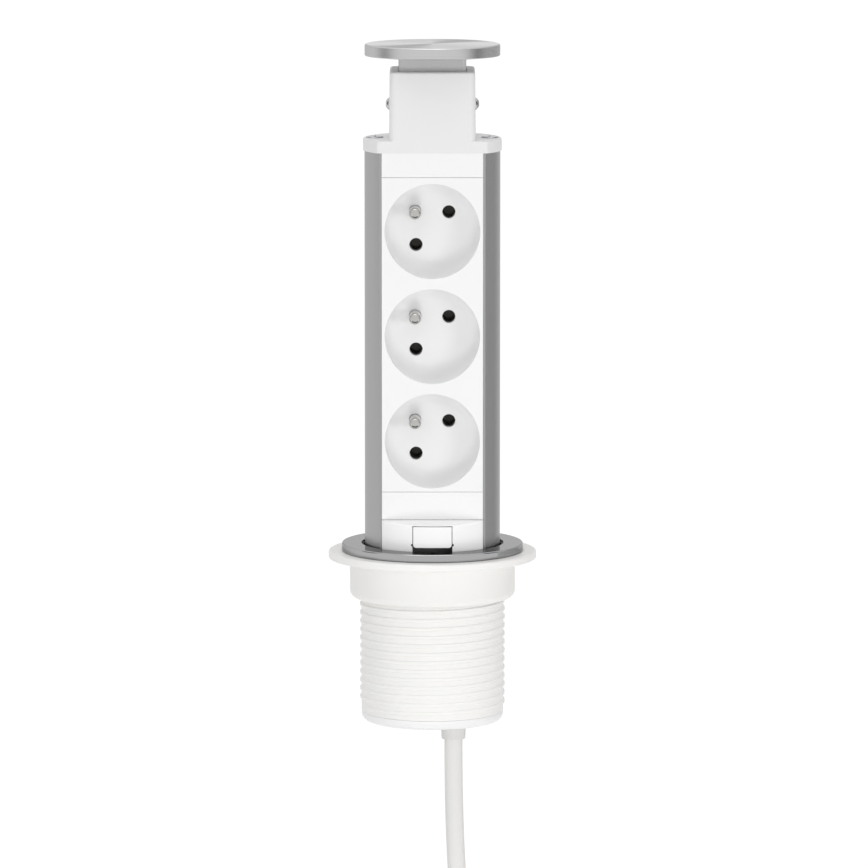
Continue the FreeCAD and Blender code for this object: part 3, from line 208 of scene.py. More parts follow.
@dataclass(frozen=True)
class MainsLead:
    """One unbroken lead: straight out of the gland, into a tied hank, and on to the plug.

    Its sizes in millimetres, and its route, are the part's. From the gland it runs down, shifts a
    little to the right and runs down again into the hank, whose middle is drawn in by a waist. The
    hank's turns lie a step further out until its middle and then come back in on the next layer.
    Half a run, a fold and the climb to a layer each take their share of a turn.
    """

    diameter: float = 7.5
    exit_x: float = 8.7
    exit_z: float = -79.1
    run: float = 57.0
    shift: float = 8.8
    last_run: float = 50.0
    fold_r: float = 22.5
    step: float = 8.4
    layer: float = 8.2
    waist: float = 5.0
    half_run: float = 58.5
    near_share: float = 0.28
    far_share: float = 0.72
    turns: int = 3
    run_turn: float = 1 / 8
    fold_turn: float = 1 / 4
    climb_turn: float = 1 / 16
    fold_corners: int = 4
    tail: float = 44.0
    real_length: float = 1525.3

    def radius_at(self, t: float) -> float:
        """Distance of the winding's line from the hank's middle, after this many turns."""
        return self.fold_r + self.step * (self.turns / 2 - abs(t - self.turns / 2))

    def layer_at(self, t: float) -> float:
        """Works out how deep the winding lies, with each climb to a layer along a run.

        Args:
            t: How many turns lie before the place.

        Returns:
            The depth in millimetres.
        """
        middle, climb = self.turns / 2, self.climb_turn
        return self.layer * float(np.interp(t, [0, climb, middle - climb, middle + climb], [0, 1, 1, 2]))

    def half_turn(self, start: float, side: Side) -> list[tuple[float, float, float]]:
        """Route points from the hank's waist down one run, round a fold and up the other run to the waist.

        A run has one point near the waist, drawn in, and one far from it. A fold's points are the
        corners of a polygon round its circle. On the left side all of it stands upside down.

        Args:
            start: How many turns lie before it.
            side: The side of its first run.

        Returns:
            The points about the hank's middle, in millimetres.
        """
        sign = side.value
        drawn = [(self.near_share, self.waist), (self.far_share, 0.0)]
        points = []
        for share, inward in drawn:
            t = start + share * self.run_turn
            across = sign * (self.radius_at(t) - inward)
            points.append((across, self.layer_at(t), -sign * share * self.half_run))
        half_step = math.pi / self.fold_corners / 2
        for k in range(self.fold_corners):
            t = start + self.run_turn + (k + 0.5) * self.fold_turn / self.fold_corners
            corner = self.radius_at(t) / math.cos(half_step)
            angle = (2 * k + 1) * half_step
            along = self.half_run + corner * math.sin(angle)
            points.append((sign * corner * math.cos(angle), self.layer_at(t), -sign * along))
        for share, inward in reversed(drawn):
            t = start + self.run_turn + self.fold_turn + (1 - share) * self.run_turn
            across = -sign * (self.radius_at(t) - inward)
            points.append((across, self.layer_at(t), -sign * share * self.half_run))
        return points

    def control_points(self) -> list[Vector]:
        """Works out the route: the free run, the hank's turns and the tail down to the plug.

        Returns:
            The route's points in metres.
        """
        start_x = self.exit_x + self.shift
        hank_x = start_x - self.fold_r + self.waist
        hank_z = self.exit_z - 2 * self.run - self.last_run
        points = [
            (self.exit_x, 0, self.exit_z),
            (self.exit_x, 0, self.exit_z - self.run),
            (start_x, 0, self.exit_z - 2 * self.run),
            (start_x, 0, hank_z),
        ]
        for turn in range(self.turns):
            for x, y, z in self.half_turn(turn, Side.RIGHT) + self.half_turn(turn + 0.5, Side.LEFT):
                points.append((hank_x + x, y, hank_z + z))
        tail_x = hank_x + self.radius_at(self.turns + self.run_turn)
        tail_y = 3 * self.layer
        tail_z = hank_z - self.half_run - self.diameter
        waist_z = hank_z - self.near_share * self.half_run / 2
        points += [
            (hank_x + self.fold_r - self.waist, 2 * self.layer, waist_z),
            (tail_x, tail_y, hank_z - self.far_share * self.half_run),
            (tail_x, tail_y, tail_z),
            (tail_x, tail_y, tail_z - self.tail),
        ]
        return [Vector(p) * MM for p in points]

    def build(
        self, material: bpy.types.Material, with_pieces: list[str | bpy.types.Object]
    ) -> bpy.types.Object:
        """Args:
            material: The sheath's material.
            with_pieces: The pieces that lie on the lead. Not used.

        Returns:
            The curve object.
        """
        points = self.control_points()
        curve = bpy.data.curves.new("mains_lead", "CURVE")
        curve.dimensions = "3D"
        curve.resolution_u = 12
        curve.bevel_depth = self.diameter / 2 * MM
        curve.bevel_resolution = 6
        curve.use_fill_caps = True
        spline = curve.splines.new("NURBS")
        spline.points.add(len(points) - 1)
        for target, point in zip(spline.points, points):
            target.co = (*point, 1.0)
        spline.order_u = 3
        spline.use_endpoint_u = True
        lead = bpy.data.objects.new("mains_lead", curve)
        bpy.context.scene.collection.objects.link(lead)
        curve.materials.append(material)
        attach(lead, "tower")
        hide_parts("cord_run", "cord_hank", "cord_tail")
        log.info("mains lead: %d control points", len(points))
        return lead


@dataclass(frozen=True)
class Shot:
    """The photograph's view of the tower, in metres.

    The focal length and the place of the tower's axis are measured in the photograph's pixels.
    """

    distance: float = 2.655
    height: float = 0.3999
    pitch_deg: float = 7.556
    focal_px: float = 6513.5
    axis_px: float = 432.4
    sensor_mm: float = 36.0

    def build(self) -> bpy.types.Object:
        """Places the camera straight in front of the tower.

        Returns:
            The camera.
        """
        data = bpy.data.cameras.new("camera")
        data.sensor_width = self.sensor_mm
        data.lens = self.focal_px / PHOTO_PX * self.sensor_mm
        data.shift_x = (PHOTO_PX / 2 - self.axis_px) / PHOTO_PX
        data.clip_start = 0.05
        data.clip_end = 100
        camera = bpy.data.objects.new("camera", data)
        bpy.context.scene.collection.objects.link(camera)
        camera.location = (0, -self.distance, self.height)
        camera.rotation_euler = (math.radians(90 - self.pitch_deg), 0, 0)
        bpy.context.scene.camera = camera
        return camera


def white_for_views(tree: bpy.types.NodeTree) -> bpy.types.NodeSocket:
    """Tells the rays that look at the surround from those that only carry its light.

    Args:
        tree: The nodes of the world or of the floor.

    Returns:
        A socket that is 1 for camera, glossy and transmission rays.
    """
    rays = add_node(tree, "ShaderNodeLightPath").outputs
    larger = {"operation": "MAXIMUM"}
    glossy = add_node(tree, "ShaderNodeMath", larger, {0: rays["Is Camera Ray"], 1: rays["Is Glossy Ray"]})
    both = add_node(tree, "ShaderNodeMath", larger, {0: glossy.outputs[0], 1: rays["Is Transmission Ray"]})
    return both.outputs[0]


@dataclass(frozen=True)
class Surround:
    """A white surround for the eye and for reflections, and a softer one as light."""

    seen_strength: float = 1.0
    light_strength: float = 0.61

    def build(self) -> bpy.types.World:
        """Makes the world.

        Returns:
            The world.
        """
        world = bpy.data.worlds.new("studio_world")
        bpy.context.scene.world = world
        world.use_nodes = True
        tree = world.node_tree
        tree.nodes.clear()
        seen = add_node(tree, "ShaderNodeBackground", {"Color": WHITE, "Strength": self.seen_strength})
        light = add_node(tree, "ShaderNodeBackground", {"Color": WHITE, "Strength": self.light_strength})
        shares = {0: white_for_views(tree), 1: light.outputs[0], 2: seen.outputs[0]}
        mix = add_node(tree, "ShaderNodeMixShader", links=shares)
        add_node(tree, "ShaderNodeOutputWorld", links={"Surface": mix.outputs[0]})
        return world


@dataclass(frozen=True)
class Floor:
    """A pale floor, lower than the plug with the tower pushed down. Sizes in metres.

    It throws back light as a matt paint does, but looks white apart from soft shadows, by its glow.
    """

    level: float = -0.63
    size: float = 30.0
    paint: str = "f2f2f2"
    shadow_paint: str = "b6b6b6"
    glow: float = 0.75

    def build(self) -> bpy.types.Object:
        """Makes the floor, as a thing of the studio.

        Returns:
            The floor.
        """
        mesh = bpy.data.meshes.new("floor")
        half = self.size / 2
        corners = [(-half, -half), (half, -half), (half, half), (-half, half)]
        mesh.from_pydata([(x, y, self.level) for x, y in corners], [], [(0, 1, 2, 3)])
        floor = bpy.data.objects.new("floor", mesh)
        bpy.context.scene.collection.objects.link(floor)
        material = bpy.data.materials.new("floor_pale")
        material.use_nodes = True
        tree = material.node_tree
        tree.nodes.clear()
        matt = add_node(tree, "ShaderNodeBsdfDiffuse", {"Color": linear(self.paint)})
        glow = add_node(tree, "ShaderNodeEmission", {"Color": WHITE, "Strength": self.glow})
        lit = add_node(tree, "ShaderNodeBsdfDiffuse", {"Color": linear(self.shadow_paint)})
        seen = add_node(tree, "ShaderNodeAddShader", links={0: glow.outputs[0], 1: lit.outputs[0]})
        shares = {0: white_for_views(tree), 1: matt.outputs[0], 2: seen.outputs[0]}
        mix = add_node(tree, "ShaderNodeMixShader", links=shares)
        add_node(tree, "ShaderNodeOutputMaterial", links={"Surface": mix.outputs[0]})
        mesh.materials.append(material)
        return floor


def mirrored_sheet(name: str, corners: list[tuple[float, float, float]], tone: str) -> bpy.types.Object:
    """Makes one plain sheet of the studio that only glossy rays meet.

    Args:
        name: The sheet's name.
        corners: Its four corners in turn, in metres.
        tone: Its colour.

    Returns:
        The sheet.
    """
    mesh = bpy.data.meshes.new(name)
    mesh.from_pydata(corners, [], [(0, 1, 2, 3)])
    sheet = bpy.data.objects.new(name, mesh)
    bpy.context.scene.collection.objects.link(sheet)
    material, _, shader = new_material(name)
    shader.inputs["Base Color"].default_value = linear(tone)
    shader.inputs["Roughness"].default_value = 1.0
    mesh.materials.append(material)
    sheet.visible_camera = False
    sheet.visible_diffuse = False
    sheet.visible_shadow = False
    sheet.visible_transmission = False
    return sheet


@dataclass(frozen=True)
class Card:
    """A card beside the tower that only reflections show, as a studio places one. Sizes in metres.

    It stands at its reach from the tower's axis. Its near edge is the one towards the camera.
    """

    side: Side
    tone: str
    reach: float
    near: float
    far: float
    low: float
    high: float

    def build(self) -> bpy.types.Object:
        """Stands the card up.

        Returns:
            The card.
        """
        x = self.side.value * self.reach
        bottom = [(x, self.near, self.low), (x, self.far, self.low)]
        top = [(x, self.far, self.high), (x, self.near, self.high)]
        return mirrored_sheet(f"card_{self.side.name.lower()}_{self.tone}", bottom + top, self.tone)


@dataclass(frozen=True)
class DarkTable:
    """A dark sheet low in front of the tower, which domed metal shows most. Sizes in metres."""

    tone: str = "141414"
    near: float = -1.0
    far: float = -0.3
    half_width: float = 0.5
    level: float = -0.42

    def build(self) -> bpy.types.Object:
        """Lays the sheet.

        Returns:
            The sheet.
        """
        near_edge = [(-self.half_width, self.near, self.level), (self.half_width, self.near, self.level)]
        far_edge = [(self.half_width, self.far, self.level), (-self.half_width, self.far, self.level)]
        return mirrored_sheet("dark_table", near_edge + far_edge, self.tone)


@dataclass(frozen=True)
class Lamp:
    """A soft square lamp that faces a point. Metres and watts.

    Polished metal shows it only where it is to be mirrored.
    """

    name: str
    place: tuple[float, float, float]
    target: tuple[float, float, float]
    size: float
    power: float
    mirrored: bool = False

    def build(self) -> bpy.types.Object:
        """Hangs the lamp.

        Returns:
            The lamp.
        """
        data = bpy.data.lights.new(self.name, "AREA")
        data.shape = "SQUARE"
        data.size = self.size
        data.energy = self.power
        lamp = bpy.data.objects.new(self.name, data)
        bpy.context.scene.collection.objects.link(lamp)
        lamp.location = self.place
        lamp.visible_glossy = self.mirrored
        aim = Vector(self.target) - Vector(self.place)
        lamp.rotation_euler = aim.to_track_quat("-Z", "Y").to_euler()
        return lamp


@dataclass(frozen=True)
class Studio:
    """What stands round the tower: camera, surround, floor, sheets to mirror and lamps."""

    shot: Shot = Shot()
    surround: Surround = Surround()
    floor: Floor = Floor()
    cards: tuple[Card, ...] = (
        Card(Side.LEFT, "5c5c5e", reach=1.0, near=-0.24, far=0.12, low=-0.02, high=0.7),
        Card(Side.RIGHT, "161618", reach=1.0, near=-0.38, far=0.02, low=-0.02, high=0.7),
        Card(Side.RIGHT, "eeeeee", reach=1.2, near=0.02, far=1.6, low=-0.9, high=0.9),
    )
    dark_table: DarkTable = DarkTable()
    lamps: tuple[Lamp, ...] = (
        Lamp("key_below", (0.03, -1.1, -0.36), (0, 0, 0.07), size=0.35, power=2.7),
        Lamp("key_right", (0.85, -1.0, 0.06), (0, 0, 0.07), size=0.35, power=2.5),
        Lamp("fill_left", (-1.5, -0.9, 0.3), (0, 0, 0.05), size=1.0, power=2.4),
        Lamp("top_soft", (-0.1, -0.5, 1.9), (0, 0, 0.1), size=1.4, power=8.5, mirrored=True),
    )

    def build(self) -> None:
        """Sets up the whole studio."""
        bpy.context.scene.view_settings.view_transform = "Standard"
        for thing in (self.shot, self.surround, self.floor, *self.cards, self.dark_table, *self.lamps):
            thing.build()
        log.info("studio: %d cards and %d lamps", len(self.cards), len(self.lamps))


@dataclass(frozen=True)
class Finish:
    """What all finishes share: a name, a colour, and patterns that tint and raise the surface."""

    name: str
    colour: str

    def begin(self) -> tuple[bpy.types.Material, bpy.types.NodeTree, bpy.types.Node, bpy.types.NodeSocket]:
        """Starts the material.

        Returns:
            The material, its nodes, its surface shader and the place on the piece.
        """
        material, tree, shader = new_material(self.name)
        return material, tree, shader, add_node(tree, "ShaderNodeTexCoord").outputs["Object"]

    def lay(
        self,
        shader: bpy.types.Node,
        share: bpy.types.NodeSocket,
        tones: tuple[float, float],
        height: bpy.types.NodeSocket,
        relief: dict,
    ) -> bpy.types.NodeSocket:
        """Tints the surface between two tones of its colour and raises it by a pattern's height.

        Args:
            shader: The surface shader.
            share: The share of the second tone.
            tones: What the colour is multiplied by for the first and for the second tone.
            height: The pattern's height, from 0 to 1.
            relief: The relief's settings: how strong and how deep it is.

        Returns:
            A socket that holds the tinted colour.
        """
        tree = shader.id_data
        first, second = (shade(linear(self.colour), factor) for factor in tones)
        pair = {"data_type": "RGBA", MIX_FIRST: first, MIX_SECOND: second}
        tint = add_node(tree, "ShaderNodeMix", pair, {0: share}).outputs[MIX_RESULT]
        tree.links.new(tint, shader.inputs["Base Color"])
        bump = add_node(tree, "ShaderNodeBump", relief, {"Height": height})
        tree.links.new(bump.outputs[0], shader.inputs["Normal"])
        return tint


@dataclass(frozen=True)
class PaintedShade:
    """Painted shade in a narrow place: a dark tone within a radius about Z, between two heights. In mm."""

    radius: float
    low: float
    high: float
    # Colour of the painted shade
    tone: str = "0c0c0c"
    edge: float = 0.1

    def paint_shade(
        self, tree: bpy.types.NodeTree, place: bpy.types.NodeSocket, colour: bpy.types.NodeSocket
    ) -> bpy.types.NodeSocket:
        """Paints the shade's dark tone into the narrow place.

        Args:
            tree: The material's nodes.
            place: The place on the piece.
            colour: The colour outside the painted shade.

        Returns:
            A socket that holds the colour with the painted shade.
        """
        radius, height = radius_and_height(tree, place)
        fade = {
            "From Min": self.radius * MM,
            "From Max": (self.radius + self.edge) * MM,
            "To Min": 1.0,
            "To Max": 0.0,
        }
        inside = add_node(tree, "ShaderNodeMapRange", fade, {"Value": radius})
        middle, reach = (self.low + self.high) / 2 * MM, (self.high - self.low) / 2 * MM
        near_middle = {"operation": "COMPARE", 1: middle, 2: reach}
        between = add_node(tree, "ShaderNodeMath", near_middle, {0: height})
        both = {0: inside.outputs[0], 1: between.outputs[0]}
        share = add_node(tree, "ShaderNodeMath", {"operation": "MULTIPLY"}, both)
        # Painted shade: the dark tone is mixed in inside the radius and between the heights
        dark = {"data_type": "RGBA", MIX_SECOND: linear(self.tone)}
        mix = add_node(tree, "ShaderNodeMix", dark, {0: share.outputs[0], MIX_FIRST: colour})
        return mix.outputs[MIX_RESULT]


@dataclass(frozen=True)
class Plastic(Finish):
    """Moulded plastic: its gloss, soft clouds in it and the fine grain of the tool. Sizes in mm."""

    roughness: float
    # Width of the soft clouds that the flow in the mould leaves
    cloud: float = 45.0
    mottle: float = 0.02
    smoother: float = 0.03
    rougher: float = 0.05
    # A spark-eroded tool's grain is about 0.1 mm wide, and is drawn coarser so that it shows
    grain: float = 0.35
    grain_depth: float = 0.006
    grain_strength: float = 0.6
    # Painted shade that some pieces have in a narrow place
    painted_shade: PaintedShade | None = None

    def build(self) -> bpy.types.Material:
        """Makes the material: soft mottling in the colour, uneven gloss and a spark-eroded grain.

        Returns:
            The material.
        """
        material, tree, shader, place = self.begin()
        soft = {"Scale": per_metre(self.cloud), "Detail": 3.0, "Roughness": 0.5}
        clouds = add_node(tree, "ShaderNodeTexNoise", soft, {"Vector": place}).outputs["Fac"]
        fine = {"Scale": per_metre(self.grain), "Detail": 2.0}
        grain = add_node(tree, "ShaderNodeTexNoise", fine, {"Vector": place}).outputs["Fac"]
        tones = (1 - self.mottle, 1 + self.mottle / 2)
        relief = {"Strength": self.grain_strength, "Distance": self.grain_depth * MM}
        colour = self.lay(shader, clouds, tones, grain, relief)
        # Painted shade in a narrow place, where the piece has one
        if self.painted_shade:
            tree.links.new(self.painted_shade.paint_shade(tree, place, colour), shader.inputs["Base Color"])
        uneven = {"To Min": self.roughness - self.smoother, "To Max": self.roughness + self.rougher}
        gloss = add_node(tree, "ShaderNodeMapRange", uneven, {"Value": clouds})
        tree.links.new(gloss.outputs[0], shader.inputs["Roughness"])
        return material


@dataclass(frozen=True)
class DrawnMetal(Finish):
    """Metal with fine straight lines along Z, as an extrusion or a drawn wire has. Sizes in mm."""

    roughness: float
    # A die's lines lie about 0.03 mm apart, and are drawn coarser so that they show
    line: float = 0.09
    line_length: float = 60.0
    line_depth: float = 0.0012
    line_strength: float = 0.5
    smoother: float = 0.05
    rougher: float = 0.07
    contrast: float = 0.10
    # Brightness of what the metal mirrors at a grazing angle
    edge: float = 1.0

    def build(self) -> bpy.types.Material:
        """Makes the material: stretched lines that vary the colour, the gloss and the surface a little.

        Returns:
            The material.
        """
        material, tree, shader, place = self.begin()
        scale = (per_metre(self.line), per_metre(self.line), per_metre(self.line_length))
        stretch = add_node(tree, "ShaderNodeMapping", {"Scale": scale}, {"Vector": place})
        streaks = {"Scale": 1.0, "Detail": 4.0, "Roughness": 0.65}
        lines = add_node(tree, "ShaderNodeTexNoise", streaks, {"Vector": stretch.outputs[0]}).outputs["Fac"]
        relief = {"Strength": self.line_strength, "Distance": self.line_depth * MM}
        self.lay(shader, lines, (1 - self.contrast, 1 + self.contrast), lines, relief)
        uneven = {"To Min": self.roughness - self.smoother, "To Max": self.roughness + self.rougher}
        gloss = add_node(tree, "ShaderNodeMapRange", uneven, {"Value": lines})
        tree.links.new(gloss.outputs[0], shader.inputs["Roughness"])
        shader.inputs["Specular Tint"].default_value = (self.edge, self.edge, self.edge, 1)
        shader.inputs["Metallic"].default_value = 1.0
        return material


@dataclass(frozen=True)
class TurnedMetal(Finish):
    """Metal faced on a lathe: fine rings about Z that spread a highlight into rays, and rays of painted
    highlight and shade in its colour. Sizes in mm.
    """

    roughness: float
    # Feed of a fine cut, which is how far the tool moves at each turn
    ring: float = 0.12
    ring_depth: float = 0.002
    ring_strength: float = 0.5
    anisotropy: float = 0.75
    contrast: float = 0.06
    # Brightness of what the metal mirrors at a grazing angle
    edge: float = 1.0
    # Rays of painted highlight and shade: how strong they are, how far they are turned about Z, the dark
    # rays' share and the height below which there are none
    painted_ray_depth: float = 0.0
    painted_ray_turn_deg: float = 0.0
    painted_dark_ray_share: float = 1 / 3
    painted_ray_floor: float = 0.0

    def rays(
        self, tree: bpy.types.NodeTree, place: bpy.types.NodeSocket, rings: bpy.types.NodeSocket
    ) -> bpy.types.NodeSocket:
        """Adds to the rings two broad pale rays of painted highlight and two narrow dark rays of painted
        shade, as a turned face shows in its reflection.

        The rays follow the sine of twice the angle about Z, and only the lowest share of its range
        gives the dark ones, which are opposite each other. Below the face's own height there are none.

        Args:
            tree: The material's nodes.
            place: The place on the piece.
            rings: The rings' share of the light tone.

        Returns:
            A socket that holds the share of the light tone with the painted rays.
        """
        across = add_node(tree, "ShaderNodeSeparateXYZ", links={0: place}).outputs
        angle = add_node(tree, "ShaderNodeMath", {"operation": "ARCTAN2"}, {0: across["Y"], 1: across["X"]})
        twice = {"operation": "MULTIPLY_ADD", 1: 2.0, 2: -math.radians(2 * self.painted_ray_turn_deg)}
        turned = add_node(tree, "ShaderNodeMath", twice, {0: angle.outputs[0]})
        wave = add_node(tree, "ShaderNodeMath", {"operation": "SINE"}, {0: turned.outputs[0]})
        narrow = {
            "From Min": -1.0,
            "From Max": 2 * self.painted_dark_ray_share - 1,
            "To Min": -self.painted_ray_depth,
            "To Max": self.painted_ray_depth,
        }
        sectors = add_node(tree, "ShaderNodeMapRange", narrow, {"Value": wave.outputs[0]})
        on_face = {"operation": "GREATER_THAN", 1: self.painted_ray_floor * MM}
        face = add_node(tree, "ShaderNodeMath", on_face, {0: across["Z"]})
        parts = {0: sectors.outputs[0], 1: face.outputs[0], 2: rings}
        return add_node(tree, "ShaderNodeMath", {"operation": "MULTIPLY_ADD"}, parts).outputs[0]

    def build(self) -> bpy.types.Material:
        """Makes the material: noise along the radius gives rings, and a round tangent spreads the gloss.

        Returns:
            The material.
        """
        material, tree, shader, place = self.begin()
        radius, height = radius_and_height(tree, place)
        along = add_node(tree, "ShaderNodeMath", {"operation": "ADD"}, {0: radius, 1: height})
        marks = {"noise_dimensions": "1D", "Scale": per_metre(self.ring), "Detail": 3.0, "Roughness": 0.6}
        rings = add_node(tree, "ShaderNodeTexNoise", marks, {"W": along.outputs[0]}).outputs["Fac"]
        # Painted highlight and shade: the rays, where the finish has them
        share = self.rays(tree, place, rings) if self.painted_ray_depth else rings
        relief = {"Strength": self.ring_strength, "Distance": self.ring_depth * MM}
        self.lay(shader, share, (1 - self.contrast, 1 + self.contrast), rings, relief)
        tangent = add_node(tree, "ShaderNodeTangent", {"direction_type": "RADIAL", "axis": "Z"})
        tree.links.new(tangent.outputs[0], shader.inputs["Tangent"])
        shader.inputs["Specular Tint"].default_value = (self.edge, self.edge, self.edge, 1)
        shader.inputs["Anisotropic"].default_value = self.anisotropy
        shader.inputs["Roughness"].default_value = self.roughness
        shader.inputs["Metallic"].default_value = 1.0
        return material


@dataclass(frozen=True)
class Strap(Finish):
    """Hook-and-loop strap: woven nylon with a dense pile of loops. Sizes in mm."""

    # Width of one loop of the pile
    loop: float = 0.6
    loop_depth: float = 0.15
    loop_strength: float = 0.8
    top_tone: float = 1.35
    gap_tone: float = 0.6
    roughness: float = 0.85
    sheen: float = 0.35

    def build(self) -> bpy.types.Material:
        """Makes the material: cells as loops, darker between them, with a soft sheen.

        Returns:
            The material.
        """
        material, tree, shader, place = self.begin()
        cells = add_node(tree, "ShaderNodeTexVoronoi", {"Scale": per_metre(self.loop)}, {"Vector": place})
        loops = cells.outputs["Distance"]
        relief = {"Strength": self.loop_strength, "Distance": self.loop_depth * MM, "invert": True}
        self.lay(shader, loops, (self.top_tone, self.gap_tone), loops, relief)
        shader.inputs["Roughness"].default_value = self.roughness
        shader.inputs["Sheen Weight"].default_value = self.sheen
        return material


class Finishes:
    """The real materials, and which piece has which."""

    # Depth under the cap's face that still shows the painted rays of highlight and shade, in mm
    CAP_FACE_DEPTH = 0.05
    # The pocket's painted shade under the latch ends this far behind the foot's face, reaches this far
    # above the tab's lower edge, and has its own lower end at this height, in mm
    POCKET_BEHIND, POCKET_ABOVE, POCKET_LOW = 0.4, 0.2, -1.2

    def __init__(self) -> None:
        """Makes all of them."""
        self.by_slot = self.common()
        self.by_node = self.special()

    def common(self) -> dict[str, bpy.types.Material]:
        """Makes the finish that each of the record's materials has.

        Returns:
            The materials by the record's name for them.
        """
        finishes = {
            # Injection-moulded ABS of the panels and outlets: glossy and clean
            "white_plastic": Plastic("white_abs", "f5f5f5", roughness=0.34),
            # Plain nylon of the contact carrier and the clamp: duller and a little yellow
            "inner_plastic": Plastic("natural_nylon", "dcdcd6", roughness=0.5),
            # Grey ABS of the neck, moulded with a satin face
            "grey_plastic": Plastic("grey_abs", "cbcbcb", roughness=0.45),
            # Anodised aluminium extrusion: satin, with fine lines along its length
            "aluminium": DrawnMetal("anodised_extrusion", "a8a8a9", roughness=0.32, edge=0.8),
            # Zinc-plated steel of screws and springs: cold grey, unevenly bright
            "steel": DrawnMetal("zinc_plated_steel", "b8b9bb", roughness=0.28, line=0.2, line_length=0.8),
            # Polished chrome of the two domed screws: almost a mirror
            "chrome": DrawnMetal(
                "polished_chrome", "b4b5b6", roughness=0.1, line=0.3, line_length=1.0, contrast=0.03
            ),
            # Nickel-plated brass of the pins and earth clips: bright, with drawing lines
            "brass": DrawnMetal("nickel_plated_brass", "b9b8b5", roughness=0.12, line=0.2, line_length=3.0),
            # Extruded PVC sheath of the lead: dull, with soft unevenness about 0.8 mm wide
            "cord_white": Plastic("white_pvc_sheath", "e8e7e5", roughness=0.48, grain=0.8, grain_depth=0.02),
            # Woven hook-and-loop strap: black, with a soft pile
            "tie_black": Strap("black_strap", "2c2c2e"),
            # Extruded PVC insulation of the three cores
            "wire_brown": Plastic("brown_insulation", "6a4028", roughness=0.4),
            "wire_blue": Plastic("blue_insulation", "2f58a6", roughness=0.4),
            "wire_green": Plastic("green_insulation", "4f9434", roughness=0.4),
        }
        return {slot: finish.build() for slot, finish in finishes.items()}

    def special(self) -> dict[str, bpy.types.Material]:
        """Makes the finishes of single pieces, which differ from the rest of their material.

        Returns:
            The materials by the piece's name.
        """
        # Cap turned from aluminium: fine rings, with rays of painted highlight and shade on its face
        cap = TurnedMetal(
            "turned_aluminium",
            "c6c6c6",
            roughness=0.30,
            contrast=0.36,
            edge=0.7,
            painted_ray_depth=0.45,
            painted_ray_turn_deg=103,
            painted_ray_floor=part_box("cap_disc")[1][2] / MM - self.CAP_FACE_DEPTH,
        ).build()
        # Ring turned from steel and polished: almost a mirror
        steel_ring = TurnedMetal(
            "polished_steel_ring", "a9a9aa", roughness=0.12, anisotropy=0.3, ring_depth=0.0008, edge=0.6
        ).build()
        # Bare bronze strip of the contacts, dull and darker than the pins: the darker colour is painted
        # shade for their place deep in the pin holes
        contact = DrawnMetal("dull_bronze_painted_shade", "8c8a86", roughness=0.55, line=0.2, line_length=3.0).build()
        # Head block in ABS with a duller face than the panels
        head = Plastic("white_abs_satin", "ebebeb", roughness=0.42).build()
        # Latch in the same ABS, glossier, with a colour lighter than the panels' that is painted light, for
        # the top light it catches
        tab = Plastic("white_gloss_abs_painted_light", "fcfcfc", roughness=0.22).build()
        # The foot is of the same lighter ABS, painted light too where the ring keeps the low light off it,
        # with painted shade in the pocket below the latch
        pocket = PaintedShade(
            radius=-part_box("foot_panel")[0][1] / MM - self.POCKET_BEHIND,
            low=self.POCKET_LOW,
            high=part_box("latch_tab")[0][2] / MM + self.POCKET_ABOVE,
            tone="808080",
        )
        foot = Plastic("white_abs_gloss_dark_pocket", "fcfcfc", roughness=0.22, painted_shade=pocket).build()
        # Soft PVC grommet where the lead leaves
        gland = Plastic("white_soft_pvc", "dfdedc", roughness=0.55).build()
        # Polyamide of the sleeve and of what screws onto it: a warmer white
        polyamide = Plastic("white_polyamide", "f6f5f3", roughness=0.4).build()
        # Painted shade: the sleeve's bore is painted near black at its mouth, where the gap round the column
        # lies in shade
        bore = PaintedShade(radius=29.3, low=-0.5, high=4.0)
        sleeve = Plastic("white_polyamide_painted_bore_shade", "f6f5f3", roughness=0.4, painted_shade=bore).build()
        return {
            "cap_disc": cap,
            "trim_ring": steel_ring,
            "head_housing": head,
            "threaded_sleeve": sleeve,
            "foot_panel": foot,
            "latch_tab": tab,
            "cord_gland": gland,
            "pressure_washer": polyamide,
            "clamp_nut": polyamide,
            "line_strip": contact,
            "neutral_strip": contact,
            "earth_strip": contact,
        }

    def apply(self) -> None:
        """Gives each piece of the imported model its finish."""
        for entry in frame["record"]["subparts"]:
            name = entry["node"]
            finish = self.by_node.get(name, self.by_slot[entry["material_slot"]])
            mesh = frame["nodes"][name].data
            mesh.materials.clear()
            mesh.materials.append(finish)
            log.info("%s: %s", name, finish.name)


